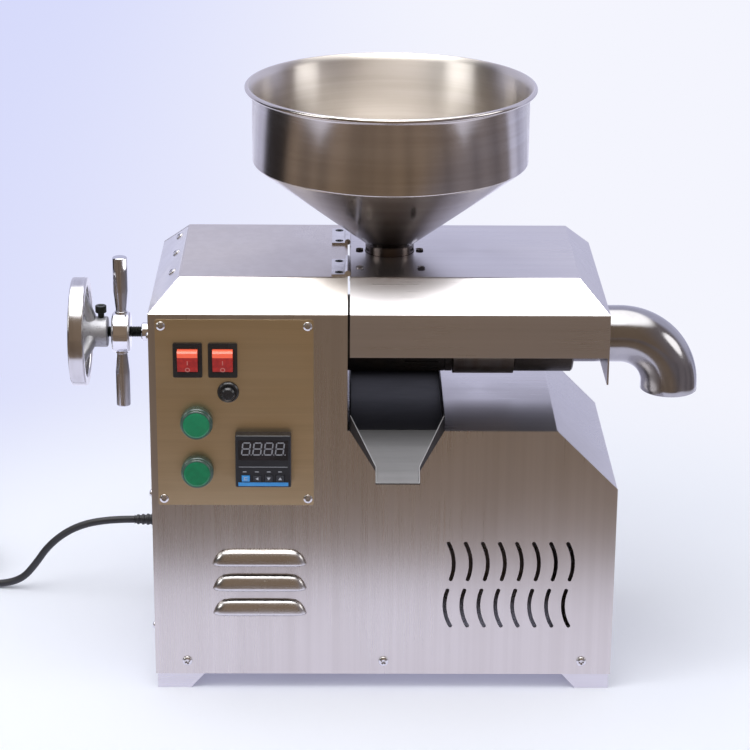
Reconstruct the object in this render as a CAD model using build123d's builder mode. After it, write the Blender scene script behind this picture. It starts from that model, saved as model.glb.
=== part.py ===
from build123d import *
import os
from math import atan2, cos, pi, radians, sin, sqrt, tan

os.makedirs("parts", exist_ok=True)

# A bench-top screw oil press. Millimetres, +Z up, +X towards the cake elbow, -Y towards the user.
# The origin lies on the bench, under the middle of the machine without its mains cord.

# Sheet metal and fits
sheet = 1.5          # cabinet sheet
bend_r = 2.5         # outer radius of a fold
seam = 0.5           # dark line left between two cover sheets
seat_gap = 0.3       # gap at a seat between pieces that move apart
run_gap = 0.05       # radial clearance of a running fit
hole_gap = 0.2       # radial clearance of a screw in its hole

# Cabinet
body_w = 406.0
body_d = 216.0
skirt_z = 14.5       # lower edge of the panels above the bench
tall_w = 170.0       # width of the tall gear housing
eave_z = 352.0
roof_z = 377.0
roof_in = 29.0       # how far the roof stands back from the front and rear faces
end_lean = 26.0      # how far the left end leans in between eave and roof
low_z = 247.0        # top of the low motor housing
low_slope = 54.0     # sloped corner of the low housing
bulk_t = 5.0
axis_z = 300.0       # press axis above the bench

# Gear train: motor pinion to idler gear, idler pinion to final gear
module_low, module_high = 1.5, 2.0
pinion_teeth, idler_teeth, final_teeth = 16, 60, 54
motor_teeth = 16
case_side = 10.0     # from the final gear's pitch circle to the outside of its case
gear_case_r = module_high * final_teeth / 2 + case_side

# Parts that stand out of the cabinet
chute_reach = 50.0
rim_r = 127.0        # hopper rim, to the outside of its bead
boss_len = 14.0      # spindle boss outside the left wall
nut_gap = 9.8        # free thread between boss and lock nut
nut_len = 16.5
hub_gap = 3.7
hub_len = 23.0
wheel_w = 14.0       # rim width of the handwheel
wheel_dish = 8.7     # how far the rim stands out past the hub

# Discharge elbow
pipe_r = 25.4
pipe_wall = 1.5
elbow_bend = 46.0
elbow_run = 43.0     # straight length before the bend
elbow_drop = 6.0     # straight length after it
press_len = 201.0    # right face of the outlet head, from the tall housing
head_end = tall_w + press_len

wheel_out = body_w / 2 + boss_len + nut_gap + nut_len + hub_gap + hub_len + wheel_dish
elbow_out = head_end - body_w / 2 + elbow_run + elbow_bend + pipe_r
mid_x = (wheel_out - elbow_out) / 2
front_y = -(body_d / 2 + rim_r - chute_reach) / 2
axis_y = front_y + body_d / 2
back_y = front_y + body_d
left_x = mid_x - body_w / 2
right_x = mid_x + body_w / 2
split_x = left_x + tall_w
roof_flat = body_d - 2 * roof_in


def front(y):
    """Upright plane facing the user, at depth y: local x is X, local y is Z."""
    return Plane.XZ.offset(-y)


def across(x):
    """Upright plane square to the press axis: local x is Y, local y is Z."""
    return Plane.YZ.offset(x)


def level(z):
    return Plane.XY.offset(z)


def axial(x, z=axis_z):
    """Plane for a revolve about a shaft along X at height z: local x is X, local y is the radius."""
    return Plane(origin=(0, axis_y, z), x_dir=(1, 0, 0), z_dir=(0, -1, 0))


def roof_section(x, inset, low):
    """Outline of the cabinet seen from its end, shrunk by inset, open below to height low."""
    with BuildSketch(across(x), mode=Mode.PRIVATE) as section:
        with BuildLine():
            Polyline(
                (front_y, low),
                (front_y, eave_z),
                (front_y + roof_in, roof_z),
                (back_y - roof_in, roof_z),
                (back_y, eave_z),
                (back_y, low),
                close=True,
            )
        make_face()
        fillet(section.vertices().group_by(Axis.Y)[1:], bend_r)
        if inset:
            offset(amount=-inset)
    return section.sketch


def pan_screw(head_r, head_h, shank_r, shank_l):
    """Screw standing on z = 0, head up."""
    with BuildPart(mode=Mode.PRIVATE) as screw:
        Cylinder(head_r, head_h, align=(Align.CENTER, Align.CENTER, Align.MIN))
        chamfer(screw.edges().sort_by(Axis.Z)[-1], head_h * 0.4)
        Cylinder(shank_r, shank_l, align=(Align.CENTER, Align.CENTER, Align.MAX))
    return screw.part


def facing(place, direction):
    """Location at place with its Z pointing along direction."""
    return Location(Plane(origin=place, z_dir=direction))


# Cabinet fasteners
screw_r = 1.9
screw_head_r = 4.5
screw_head_h = 2.4
screw_len = 6.0
skirt_screw_z = 27.0
skirt_screw_x = [left_x + 28.3, mid_x, right_x - 26.4]
wall_screw_z = [58.0, 185.0, 330.0]
wall_screw_in = 9.0
lean_screw_y = [front_y + body_d * share for share in (0.32, 0.58, 0.82)]
lean_screw_up = 0.66     # share of the leaning face below the screws

# Base frame: one plate folded into a foot at each end, with lips for the panels
frame_t = 2.5
foot_w = 31.0
foot_out = 13.0          # how much wider the foot is at the top
lip_h = 27.0
frame_front = front_y + sheet
frame_back = back_y - sheet
frame_left = left_x + sheet
frame_right = right_x - sheet

with BuildPart() as base_frame:
    with BuildSketch(front(frame_front)):
        with BuildLine():
            Polyline(
                (frame_left, skirt_z + lip_h),
                (frame_left, 0),
                (left_x + foot_w, 0),
                (left_x + foot_w + foot_out, skirt_z),
                (right_x - foot_w - foot_out, skirt_z),
                (right_x - foot_w, 0),
                (frame_right, 0),
                (frame_right, skirt_z + lip_h),
                (frame_right - frame_t, skirt_z + lip_h),
                (frame_right - frame_t, frame_t),
                (right_x - foot_w + frame_t * 0.4, frame_t),
                (right_x - foot_w - foot_out + frame_t * 0.4, skirt_z + frame_t),
                (left_x + foot_w + foot_out - frame_t * 0.4, skirt_z + frame_t),
                (left_x + foot_w - frame_t * 0.4, frame_t),
                (frame_left + frame_t, frame_t),
                (frame_left + frame_t, skirt_z + lip_h),
                close=True,
            )
        make_face()
    extrude(amount=-(frame_back - frame_front))
    for lip_y in (frame_front, frame_back - frame_t):
        with BuildSketch(front(lip_y)):
            with Locations((mid_x, skirt_z + lip_h / 2)):
                Rectangle(frame_right - frame_left, lip_h)
            for wall_x, side in ((frame_left, 1), (frame_right, -1)):
                Polygon((wall_x, 0), (wall_x + side * (foot_w - sheet), 0),
                        (wall_x + side * (foot_w + foot_out - sheet), skirt_z),
                        (wall_x, skirt_z), align=None)
        extrude(amount=-frame_t)
    with Locations(*[facing((x, front_y, skirt_screw_z), (0, -1, 0)) for x in skirt_screw_x]):
        Hole(screw_r + hole_gap, depth=2 * frame_t)
    with Locations(*[facing((x, back_y, skirt_screw_z), (0, 1, 0)) for x in skirt_screw_x]):
        Hole(screw_r + hole_gap, depth=2 * frame_t)
base_frame.part.label = "base_frame"
export_step(base_frame.part, "parts/base_frame.step")

# Control plate layout, from the left wall and the bench
plate_t = 1.0
plate_x0, plate_x1 = left_x + 6.0, left_x + 141.0
plate_z0, plate_z1 = 178.0, 348.0
switch_w, switch_h = 25.0, 31.0
switch_body_w, switch_body_h, switch_body_d = 21.6, 27.6, 24.0
switch_in, switch_down, switch_gap = 33.5, 36.0, 5.0
switch_x = [left_x + switch_in, left_x + switch_in + switch_w + switch_gap]
switch_z = plate_z1 - switch_down
fuse_flange_r, fuse_body_r = 9.5, 7.5
fuse_gap, fuse_shift = 4.0, 4.3      # below the second switch, and beside its middle
fuse_x = switch_x[1] + fuse_shift
fuse_z = switch_z - switch_h / 2 - fuse_gap - fuse_flange_r
lamp_r, lamp_body_r, lens_r = 14.0, 11.0, 12.5
lamp_gap, lamp_shift, lamp_pitch = 26.5, 7.0, 45.0
lamp_x = switch_x[0] + lamp_shift
lamp_top = switch_z - switch_h / 2 - lamp_gap - lamp_r
lamp_z = [lamp_top, lamp_top - lamp_pitch]
meter_w, meter_body_w = 48.0, 44.6
meter_gap, meter_drop = 19.1, 27.0   # beside the lamps, and below the fuse
meter_body_d = body_d / 2 - gear_case_r - 2
meter_x = lamp_x + lamp_r + meter_gap + meter_w / 2
meter_z = fuse_z - fuse_flange_r - meter_drop - meter_w / 2
plate_screws_at = [
    (x, z) for x in (plate_x0 + 5.0, plate_x1 - 5.0) for z in (plate_z0 + 6.0, plate_z1 - 5.5)
]


def control_openings(clear):
    """Openings for everything that goes through the control plate, in the plate's own plane."""
    with BuildSketch(mode=Mode.PRIVATE) as openings:
        with Locations(*[(x, switch_z) for x in switch_x]):
            Rectangle(switch_body_w + 2 * clear, switch_body_h + 2 * clear)
        with Locations((fuse_x, fuse_z)):
            Circle(fuse_body_r + clear)
        with Locations(*[(lamp_x, z) for z in lamp_z]):
            Circle(lamp_body_r + clear)
        with Locations((meter_x, meter_z)):
            Rectangle(meter_body_w + 2 * clear, meter_body_w + 2 * clear)
    return openings.sketch


# Louvres and curved air slots of the front panel
louver_x0, louver_len = left_x + 52.8, 81.0
louver_end = 8.5         # run of each sloping end
louver_steps = ((0, 13.0), (4.6, 10.4), (7.0, 5.6))     # depth and height of the hood's sections
louver_taper = 0.25      # narrowing of the hood with its depth, each end
louver_z, louver_pitch = 122.0, 23.8
louver_rows = 3
louver_wall = 1.2
slot_w = 3.5
slot_pitch = 15.0
slot_count = 8
slot_x0 = mid_x + 57.5
slot_rows = [(124.2, 3.6, 1.2), (79.2, -3.8, 1.5)]     # middle height, bulge, half the sideways drift
slot_half = 17.2


def air_slots(first_x, count):
    """Rows of curved slots as sketch faces in X and Z."""
    with BuildSketch(mode=Mode.PRIVATE) as slots:
        for middle, bulge, drift in slot_rows:
            for n in range(count):
                x = first_x + n * slot_pitch
                upper = (x - drift, middle + slot_half)
                lower = (x + drift, middle - slot_half)
                SlotArc(ThreePointArc(upper, (x + bulge, middle), lower, mode=Mode.PRIVATE), slot_w)
    return slots.sketch




def louver_hood(base, inset):
    """Hood widest at its open lower edge, shrunk by inset and carried down by it."""
    with BuildPart(mode=Mode.PRIVATE) as hood:
        for depth, height in louver_steps:
            half = louver_len / 2 - inset - depth * louver_taper
            with BuildSketch(front(front_y + inset * 1.5 - depth)):
                with Locations((louver_x0 + louver_len / 2, base)):
                    Polygon((-half, -inset / 2), (half, -inset / 2),
                            (half - louver_end, height - inset), (louver_end - half, height - inset),
                            align=None)
        loft()
    return hood.part


flange_w = 16.0      # folded edge that carries the left end plate
gland_y, gland_z, gland_r = back_y - 15.0, 78.0, 6.0
gland_flange_r = 9.5

with BuildPart() as front_panel:
    extrude(roof_section(left_x, 0, skirt_z), amount=tall_w, dir=(1, 0, 0))
    extrude(roof_section(left_x - 1, sheet, skirt_z - 9), amount=tall_w + 2, dir=(1, 0, 0),
            mode=Mode.SUBTRACT)
    with BuildSketch(front(back_y + 1)):
        Polygon((left_x - 1, skirt_z - 1), (split_x + 1, skirt_z - 1), (split_x + 1, eave_z),
                (left_x - 1, eave_z), align=None)
    extrude(amount=body_d / 2, mode=Mode.SUBTRACT)
    with BuildSketch(front(front_y)):
        Polygon((split_x - 1, skirt_z), (right_x, skirt_z), (right_x, low_z - low_slope),
                (right_x - low_slope, low_z), (split_x - 1, low_z), align=None)
    extrude(amount=-sheet)
    with BuildSketch(front(front_y + sheet)):
        with Locations((left_x + 1.5 * sheet + seam / 2, (skirt_z + lip_h + eave_z) / 2)):
            Rectangle(sheet, eave_z - skirt_z - lip_h - 12)
    extrude(amount=-flange_w)
    with BuildSketch(front(back_y + 1)):
        Polygon((left_x - 1, eave_z), (left_x, eave_z), (left_x + end_lean, roof_z),
                (left_x + end_lean, roof_z + 1), (left_x - 1, roof_z + 1), align=None)
    extrude(amount=body_d + 2, mode=Mode.SUBTRACT)
    for row in range(louver_rows):
        add(louver_hood(louver_z - row * louver_pitch, 0))
        add(louver_hood(louver_z - row * louver_pitch, louver_wall), mode=Mode.SUBTRACT)
    with BuildSketch(front(front_y - 1)):
        add(air_slots(slot_x0, slot_count))
        add(control_openings(0.5))
        with Locations(*[(x, skirt_screw_z) for x in skirt_screw_x]):
            Circle(screw_r + hole_gap)
        with Locations(*plate_screws_at):
            Circle(screw_r + hole_gap)
    extrude(amount=-sheet - 2, mode=Mode.SUBTRACT)
    with Locations(*[facing((left_x, front_y + wall_screw_in, z), (-1, 0, 0)) for z in wall_screw_z]):
        Hole(screw_r + hole_gap, depth=4 * sheet)
front_panel.part.label = "front_panel"
export_step(front_panel.part, "parts/front_panel.step")

with BuildPart() as rear_panel:
    with BuildSketch(front(back_y)):
        Polygon((left_x, skirt_z), (right_x, skirt_z), (right_x, low_z - low_slope),
                (right_x - low_slope, low_z), (split_x, low_z), (split_x, eave_z - seam),
                (left_x, eave_z - seam), align=None)
        add(air_slots(slot_x0, slot_count), mode=Mode.SUBTRACT)
        with Locations(*[(x, skirt_screw_z) for x in skirt_screw_x]):
            Circle(screw_r + hole_gap, mode=Mode.SUBTRACT)
    extrude(amount=sheet)
    with BuildSketch(front(back_y - sheet)):
        with Locations((left_x + 1.5 * sheet + seam / 2, (skirt_z + lip_h + eave_z) / 2)):
            Rectangle(sheet, eave_z - skirt_z - lip_h - 12)
    extrude(amount=flange_w)
    with Locations(*[facing((left_x, back_y - wall_screw_in, z), (-1, 0, 0)) for z in wall_screw_z]):
        Hole(screw_r + hole_gap, depth=4 * sheet)
    with Locations(facing((left_x, gland_y, gland_z), (-1, 0, 0))):
        Hole(gland_flange_r + hole_gap, depth=4 * sheet)
rear_panel.part.label = "rear_panel"
export_step(rear_panel.part, "parts/rear_panel.step")

# Left end plate: upright wall folded inwards at the eave, between the hips of the roof
boss_r = 8.5
lean_run = sqrt(end_lean**2 + (roof_z - eave_z) ** 2)
lean_out = Vector(-(roof_z - eave_z) / lean_run, 0, end_lean / lean_run)
lean_screws = [
    Vector(left_x + end_lean * lean_screw_up, y, eave_z + (roof_z - eave_z) * lean_screw_up)
    for y in lean_screw_y
]
lean_fold = sheet * tan(radians(22.5))

with BuildPart() as left_end_plate:
    with BuildSketch(front(front_y)):
        with BuildLine():
            Polyline(
                (left_x, skirt_z),
                (left_x, eave_z),
                (left_x + end_lean, roof_z),
                (left_x + end_lean + sheet, roof_z),
                (left_x + end_lean + sheet, roof_z - sheet),
                (left_x + sheet, eave_z - lean_fold),
                (left_x + sheet, skirt_z),
                close=True,
            )
        make_face()
    extrude(amount=-body_d)
    extrude(roof_section(left_x - 1, sheet + seam, skirt_z - 9), amount=tall_w, dir=(1, 0, 0),
            mode=Mode.INTERSECT)
    with Locations(facing((left_x, axis_y, axis_z), (-1, 0, 0))):
        Hole(boss_r + hole_gap, depth=2 * sheet)
    with Locations(facing((left_x, gland_y, gland_z), (-1, 0, 0))):
        Hole(gland_r + hole_gap, depth=2 * sheet)
    edge_screws = [(y, z) for y in (front_y + wall_screw_in, back_y - wall_screw_in) for z in wall_screw_z]
    with Locations(*[facing((left_x, y, z), (-1, 0, 0)) for y, z in edge_screws]):
        Hole(screw_r + hole_gap, depth=2 * sheet)
    with Locations(*[facing(place, lean_out) for place in lean_screws]):
        Hole(screw_r + hole_gap, depth=2 * sheet)
left_end_plate.part.label = "left_end_plate"
export_step(left_end_plate.part, "parts/left_end_plate.step")

# Low cover: top, sloped corner and right wall in one folded sheet
with BuildPart() as lower_cover:
    with BuildSketch(front(front_y + sheet + seam)):
        with BuildLine():
            FilletPolyline(
                (split_x, low_z), (right_x - low_slope, low_z), (right_x, low_z - low_slope),
                (right_x, skirt_z), radius=bend_r,
            )
            offset(amount=sheet, side=Side.RIGHT)
        make_face()
    extrude(amount=-(body_d - 2 * sheet - 2 * seam))
lower_cover.part.label = "lower_cover"
export_step(lower_cover.part, "parts/lower_cover.step")

# Bulkhead between the two housings, carrying the gear case, the press cage and the motor
idler_z = axis_z - module_high * (pinion_teeth + final_teeth) / 2
motor_z = idler_z - module_low * (motor_teeth + idler_teeth) / 2
cage_spigot_r = 27.0
motor_spigot_r = 20.0
bulk_x = split_x - bulk_t

with BuildPart() as bulkhead:
    extrude(roof_section(bulk_x, sheet, skirt_z + frame_t - sheet), amount=bulk_t, dir=(1, 0, 0))
    with BuildSketch(across(bulk_x)):
        for y in (frame_front, frame_back - frame_t):
            with Locations((y + frame_t / 2, skirt_z + lip_h / 2)):
                Rectangle(frame_t + 2 * seat_gap, lip_h + 2 * seat_gap)
        with Locations((axis_y, axis_z)):
            Circle(cage_spigot_r)
        with Locations((axis_y, motor_z)):
            Circle(motor_spigot_r)
    extrude(amount=bulk_t, mode=Mode.SUBTRACT)
bulkhead.part.label = "bulkhead"
export_step(bulkhead.part, "parts/bulkhead.step")

with BuildPart() as control_plate:
    with BuildSketch(front(front_y)) as face_plate:
        with Locations(((plate_x0 + plate_x1) / 2, (plate_z0 + plate_z1) / 2)):
            RectangleRounded(plate_x1 - plate_x0, plate_z1 - plate_z0, 2)
        add(control_openings(seat_gap), mode=Mode.SUBTRACT)
        with Locations(*plate_screws_at):
            Circle(screw_r + hole_gap, mode=Mode.SUBTRACT)
    extrude(amount=plate_t)
control_plate.part.label = "control_plate"
export_step(control_plate.part, "parts/control_plate.step")

# Cabinet screws: skirts, edges of the end plate, its leaning face
plate_y = front_y - plate_t      # outer face of the control plate
with BuildPart() as case_screws:
    with Locations(*[facing((x, front_y, skirt_screw_z), (0, -1, 0)) for x in skirt_screw_x]):
        add(pan_screw(screw_head_r, screw_head_h, screw_r, screw_len))
    with Locations(*[facing((x, back_y, skirt_screw_z), (0, 1, 0)) for x in skirt_screw_x]):
        add(pan_screw(screw_head_r, screw_head_h, screw_r, screw_len))
    with Locations(*[facing((left_x, y, z), (-1, 0, 0)) for y, z in edge_screws]):
        add(pan_screw(screw_head_r - 1, screw_head_h, screw_r, screw_len))
    with Locations(*[facing(place, lean_out) for place in lean_screws]):
        add(pan_screw(screw_head_r - 0.5, screw_head_h, screw_r, screw_len - 1))
    with Locations(*[facing((x, plate_y, z), (0, -1, 0)) for x, z in plate_screws_at]):
        add(pan_screw(screw_head_r - 0.5, screw_head_h - 0.6, screw_r, screw_len))
case_screws.part.label = "case_screws"
export_step(case_screws.part, "parts/case_screws.step")

# Rocker switches: a bezel over a hollow body, and a rocker that is a sector about its pivot
rocker_w, rocker_r = 17.4, 10.3
rocker_face = 5.0        # face of the rocker in front of its pivot
rocker_tilt = 12.0
rocker_back = 4.0
trunnion_r, trunnion_len = 1.5, 1.0
bezel_t = 2.0
window_gap = 0.3

with BuildPart() as switch_housings:
    with BuildSketch(front(plate_y)):
        with Locations(*[(x, switch_z) for x in switch_x]):
            RectangleRounded(switch_w, switch_h, 1.5)
    extrude(amount=bezel_t)
    with BuildSketch(front(plate_y)):
        with Locations(*[(x, switch_z) for x in switch_x]):
            Rectangle(switch_body_w, switch_body_h)
    extrude(amount=-switch_body_d)
    with BuildSketch(front(plate_y - bezel_t)):
        with Locations(*[(x, switch_z) for x in switch_x]):
            Rectangle(rocker_w + 2 * window_gap, 2 * (rocker_r + window_gap))
    extrude(amount=-(bezel_t + rocker_r + 2), mode=Mode.SUBTRACT)
    with BuildSketch(across(switch_x[0] - rocker_w / 2 - trunnion_len - seat_gap)):
        with Locations((plate_y, switch_z)):
            Circle(trunnion_r + run_gap)
    extrude(amount=rocker_w + 2 * trunnion_len + 2 * seat_gap, mode=Mode.SUBTRACT)
    with BuildSketch(across(switch_x[1] - rocker_w / 2 - trunnion_len - seat_gap)):
        with Locations((plate_y, switch_z)):
            Circle(trunnion_r + run_gap)
    extrude(amount=rocker_w + 2 * trunnion_len + 2 * seat_gap, mode=Mode.SUBTRACT)
switch_housings.part.label = "switch_housings"
export_step(switch_housings.part, "parts/switch_housings.step")

for name, x in (("rocker_left", switch_x[0]), ("rocker_right", switch_x[1])):
    with BuildPart() as rocker:
        with BuildSketch(across(x - rocker_w / 2)):
            with Locations(Location((plate_y, switch_z, 0), (0, 0, rocker_tilt))):
                Circle(rocker_r)
                with Locations(((rocker_back - rocker_face) / 2, 0)):
                    Rectangle(rocker_back + rocker_face, 2 * rocker_r, mode=Mode.INTERSECT)
        extrude(amount=rocker_w)
        with BuildSketch(across(x - rocker_w / 2 - trunnion_len)):
            with Locations((plate_y, switch_z)):
                Circle(trunnion_r)
        extrude(amount=rocker_w + 2 * trunnion_len)
    rocker.part.label = name
    export_step(rocker.part, f"parts/{name}.step")

# Fuse holder and its screw-in cap
fuse_flange_t, fuse_len = 3.0, 30.0
cap_r, cap_out, cap_in = 6.2, 6.0, 8.0

with BuildPart() as fuse_holder:
    with BuildSketch(front(plate_y)):
        with Locations((fuse_x, fuse_z)):
            Circle(fuse_flange_r)
    extrude(amount=fuse_flange_t, taper=12)
    with BuildSketch(front(plate_y)):
        with Locations((fuse_x, fuse_z)):
            Circle(fuse_body_r)
    extrude(amount=-fuse_len)
    with BuildSketch(front(plate_y - fuse_flange_t)):
        with Locations((fuse_x, fuse_z)):
            Circle(cap_r + run_gap)
    extrude(amount=-(fuse_flange_t + cap_in + seat_gap), mode=Mode.SUBTRACT)
fuse_holder.part.label = "fuse_holder"
export_step(fuse_holder.part, "parts/fuse_holder.step")

with BuildPart() as fuse_cap:
    with BuildSketch(front(plate_y + cap_in)):
        with Locations((fuse_x, fuse_z)):
            Circle(cap_r)
    extrude(amount=cap_in + fuse_flange_t + cap_out)
    chamfer(fuse_cap.edges().sort_by(Axis.Y)[0], 1.2)
    with BuildSketch(front(plate_y - fuse_flange_t - cap_out)):
        with Locations((fuse_x, fuse_z)):
            Rectangle(2 * cap_r, 1.4)
    extrude(amount=-1.6, mode=Mode.SUBTRACT)
fuse_cap.part.label = "fuse_cap"
export_step(fuse_cap.part, "parts/fuse_cap.step")

# Pilot lamps
lamp_ring_out, lens_out, lamp_body_d = 8.0, 12.0, 34.0

with BuildPart() as lamp_bezels:
    with BuildSketch(front(plate_y)):
        with Locations(*[(lamp_x, z) for z in lamp_z]):
            Circle(lamp_r)
    extrude(amount=lamp_ring_out)
    chamfer(lamp_bezels.edges().group_by(Axis.Y)[0], 0.8)
    with BuildSketch(front(plate_y)):
        with Locations(*[(lamp_x, z) for z in lamp_z]):
            Circle(lamp_body_r)
    extrude(amount=-lamp_body_d)
    with BuildSketch(front(plate_y - lamp_ring_out)):
        with Locations(*[(lamp_x, z) for z in lamp_z]):
            Circle(lens_r)
    extrude(amount=-(lamp_ring_out - 2), mode=Mode.SUBTRACT)
lamp_bezels.part.label = "lamp_bezels"
export_step(lamp_bezels.part, "parts/lamp_bezels.step")

with BuildPart() as lamp_lenses:
    with BuildSketch(front(plate_y - 2)):
        with Locations(*[(lamp_x, z) for z in lamp_z]):
            Circle(lens_r)
    extrude(amount=lens_out - 2)
    fillet(lamp_lenses.edges().group_by(Axis.Y)[0], 1.5)
lamp_lenses.part.label = "lamp_lenses"
export_step(lamp_lenses.part, "parts/lamp_lenses.step")

# Temperature controller with four keys
meter_out = 10.0
key_w, key_h, key_proud, key_depth = 7.0, 5.4, 0.8, 2.9
key_travel = 0.6
key_pitch = 9.9
key_x0 = meter_x - 15.1
key_z = meter_z - 15.5
key_gap = 0.2

with BuildPart() as temperature_controller:
    with BuildSketch(front(plate_y)):
        with Locations((meter_x, meter_z)):
            RectangleRounded(meter_w, meter_w, 1.2)
    extrude(amount=meter_out)
    chamfer(temperature_controller.faces().sort_by(Axis.Y)[0].edges(), 0.8)
    with BuildSketch(front(plate_y)):
        with Locations((meter_x, meter_z)):
            Rectangle(meter_body_w, meter_body_w)
    extrude(amount=-meter_body_d)
    with BuildSketch(front(plate_y - meter_out)):
        with Locations(*[(key_x0 + n * key_pitch, key_z) for n in range(4)]):
            Rectangle(key_w + 2 * key_gap, key_h + 2 * key_gap)
    extrude(amount=-(key_depth + key_travel + seat_gap), mode=Mode.SUBTRACT)
temperature_controller.part.label = "temperature_controller"
export_step(temperature_controller.part, "parts/temperature_controller.step")

for n, name in enumerate(("key_set", "key_shift", "key_down", "key_up")):
    with BuildPart() as key:
        with BuildSketch(front(plate_y - meter_out + key_depth)):
            with Locations((key_x0 + n * key_pitch, key_z)):
                Rectangle(key_w, key_h)
        extrude(amount=key_depth + key_proud)
        fillet(key.edges().group_by(Axis.Y)[0], 0.4)
    key.part.label = name
    export_step(key.part, f"parts/{name}.step")

# Lid hinges on the split line of the roof: a fixed leaf outside, the moving leaf under the lid
knuckle_r, hinge_pin_r = 2.6, 1.3
leaf_t, leaf_w = 1.8, 14.0
hinge_len = roof_flat * 0.285
hinge_y = [front_y + roof_in + roof_flat * share for share in (0.155, 0.744)]
hinge_x = split_x
hinge_z = roof_z + knuckle_r
knuckle_len = hinge_len / 3
hinge_screw_y = [y + side * hinge_len * 0.355 for y in hinge_y for side in (-1, 1)]
hinge_screw_in = 7.5
hinge_screw_x = hinge_x - hinge_screw_in
flush_head_r = 3.5
lid_gap = 2.0                    # dark line between the tall housing and the lid
lid_x = split_x + lid_gap

with BuildPart() as hinge_fixed_leaves:
    for y in hinge_y:
        with BuildSketch(front(y - hinge_len / 2)):
            with Locations((hinge_x, hinge_z)):
                Circle(knuckle_r)
            with Locations((hinge_x - leaf_w / 2, roof_z + leaf_t / 2)):
                Rectangle(leaf_w, leaf_t)
        extrude(amount=-hinge_len)
        with BuildSketch(front(y - knuckle_len / 2 - seat_gap / 2)):
            with Locations((hinge_x, hinge_z)):
                Circle(knuckle_r + seat_gap)
        extrude(amount=-(knuckle_len + seat_gap), mode=Mode.SUBTRACT)
        with BuildSketch(front(y - hinge_len)):
            with Locations((hinge_x, hinge_z)):
                Circle(hinge_pin_r)
        extrude(amount=-2 * hinge_len, mode=Mode.SUBTRACT)
    with Locations(*[(hinge_screw_x, y, roof_z + leaf_t) for y in hinge_screw_y]):
        CounterBoreHole(screw_r + hole_gap, flush_head_r + hole_gap, leaf_t * 0.6, depth=leaf_t)
hinge_fixed_leaves.part.label = "hinge_fixed_leaves"
export_step(hinge_fixed_leaves.part, "parts/hinge_fixed_leaves.step")

with BuildPart() as hinge_pins:
    for y in hinge_y:
        with BuildSketch(front(y - hinge_len / 2)):
            with Locations((hinge_x, hinge_z)):
                Circle(hinge_pin_r)
        extrude(amount=-hinge_len)
hinge_pins.part.label = "hinge_pins"
export_step(hinge_pins.part, "parts/hinge_pins.step")

with BuildPart() as hinge_screws:
    with Locations(*[(hinge_screw_x, y, roof_z + leaf_t) for y in hinge_screw_y]):
        Cylinder(flush_head_r, leaf_t * 0.6, align=(Align.CENTER, Align.CENTER, Align.MAX))
        Cylinder(screw_r, leaf_t, align=(Align.CENTER, Align.CENTER, Align.MAX))
hinge_screws.part.label = "hinge_screws"
export_step(hinge_screws.part, "parts/hinge_screws.step")

with BuildPart() as hinge_lid_leaves:
    for y in hinge_y:
        with BuildSketch(front(y - knuckle_len / 2 + seat_gap / 2)):
            with Locations((hinge_x, hinge_z)):
                Circle(knuckle_r)
            strap_x0, strap_x1 = hinge_x + seat_gap, lid_x - seat_gap
            under_lid = roof_z - sheet
            Polygon((strap_x0, under_lid - leaf_t), (strap_x1, under_lid - leaf_t),
                    (strap_x1, hinge_z), (strap_x0, hinge_z), align=None)
            Polygon((strap_x0, under_lid - leaf_t), (lid_x + leaf_w, under_lid - leaf_t),
                    (lid_x + leaf_w, under_lid), (strap_x0, under_lid), align=None)
            with Locations((hinge_x, hinge_z)):
                Circle(hinge_pin_r + run_gap, mode=Mode.SUBTRACT)
        extrude(amount=-(knuckle_len - seat_gap))
hinge_lid_leaves.part.label = "hinge_lid_leaves"
export_step(hinge_lid_leaves.part, "parts/hinge_lid_leaves.step")

# Press stations along X, from the tall housing
cage_r, bore_r = 34.0, 20.3
cage_len, chamber_len = 87.0, 68.0
cage_end = split_x + cage_len
chamber_end = cage_end + chamber_len
head_x = left_x + head_end
chamber_r = 31.0
heater_r = 36.0
feed_in = 37.0
feed_x = split_x + feed_in       # hopper axis
neck_r, neck_wall = 21.5, 1.2
collar_r, collar_h = 25.0, 44.0
collar_top = axis_z + collar_h
feed_r = neck_r - neck_wall
cage_slot_w, cage_slot_len = 1.6, 30.0
cage_slots = 13
cage_slot_in = 66.0
cage_slot_x = split_x + cage_slot_in     # middle of the oil slots

with BuildPart() as press_cage:
    with BuildSketch(across(split_x)):
        with Locations((axis_y, axis_z)):
            Circle(cage_r)
    extrude(amount=cage_end - split_x)
    chamfer(press_cage.faces().sort_by(Axis.X)[-1].edges(), 1.0)
    with BuildSketch(across(bulk_x)):
        with Locations((axis_y, axis_z)):
            Circle(cage_spigot_r)
    extrude(amount=bulk_t)
    with BuildSketch(across(bulk_x)):
        with Locations((axis_y, axis_z)):
            Circle(bore_r)
    extrude(amount=cage_end - bulk_x, mode=Mode.SUBTRACT)
    with BuildSketch(level(axis_z)):
        with Locations((feed_x, axis_y)):
            Circle(feed_r - 3)
    extrude(amount=cage_r + 1, mode=Mode.SUBTRACT)
    for n in range(cage_slots):
        turn = 90 + (n - (cage_slots - 1) / 2) * 15
        slot_plane = Plane(
            origin=(cage_slot_x, axis_y, axis_z), x_dir=(1, 0, 0),
            z_dir=(0, -cos(radians(turn)), -sin(radians(turn))),
        )
        with BuildSketch(slot_plane):
            Rectangle(cage_slot_len, cage_slot_w)
        extrude(amount=cage_r + 1, mode=Mode.SUBTRACT)
press_cage.part.label = "press_cage"
export_step(press_cage.part, "parts/press_cage.step")

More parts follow.
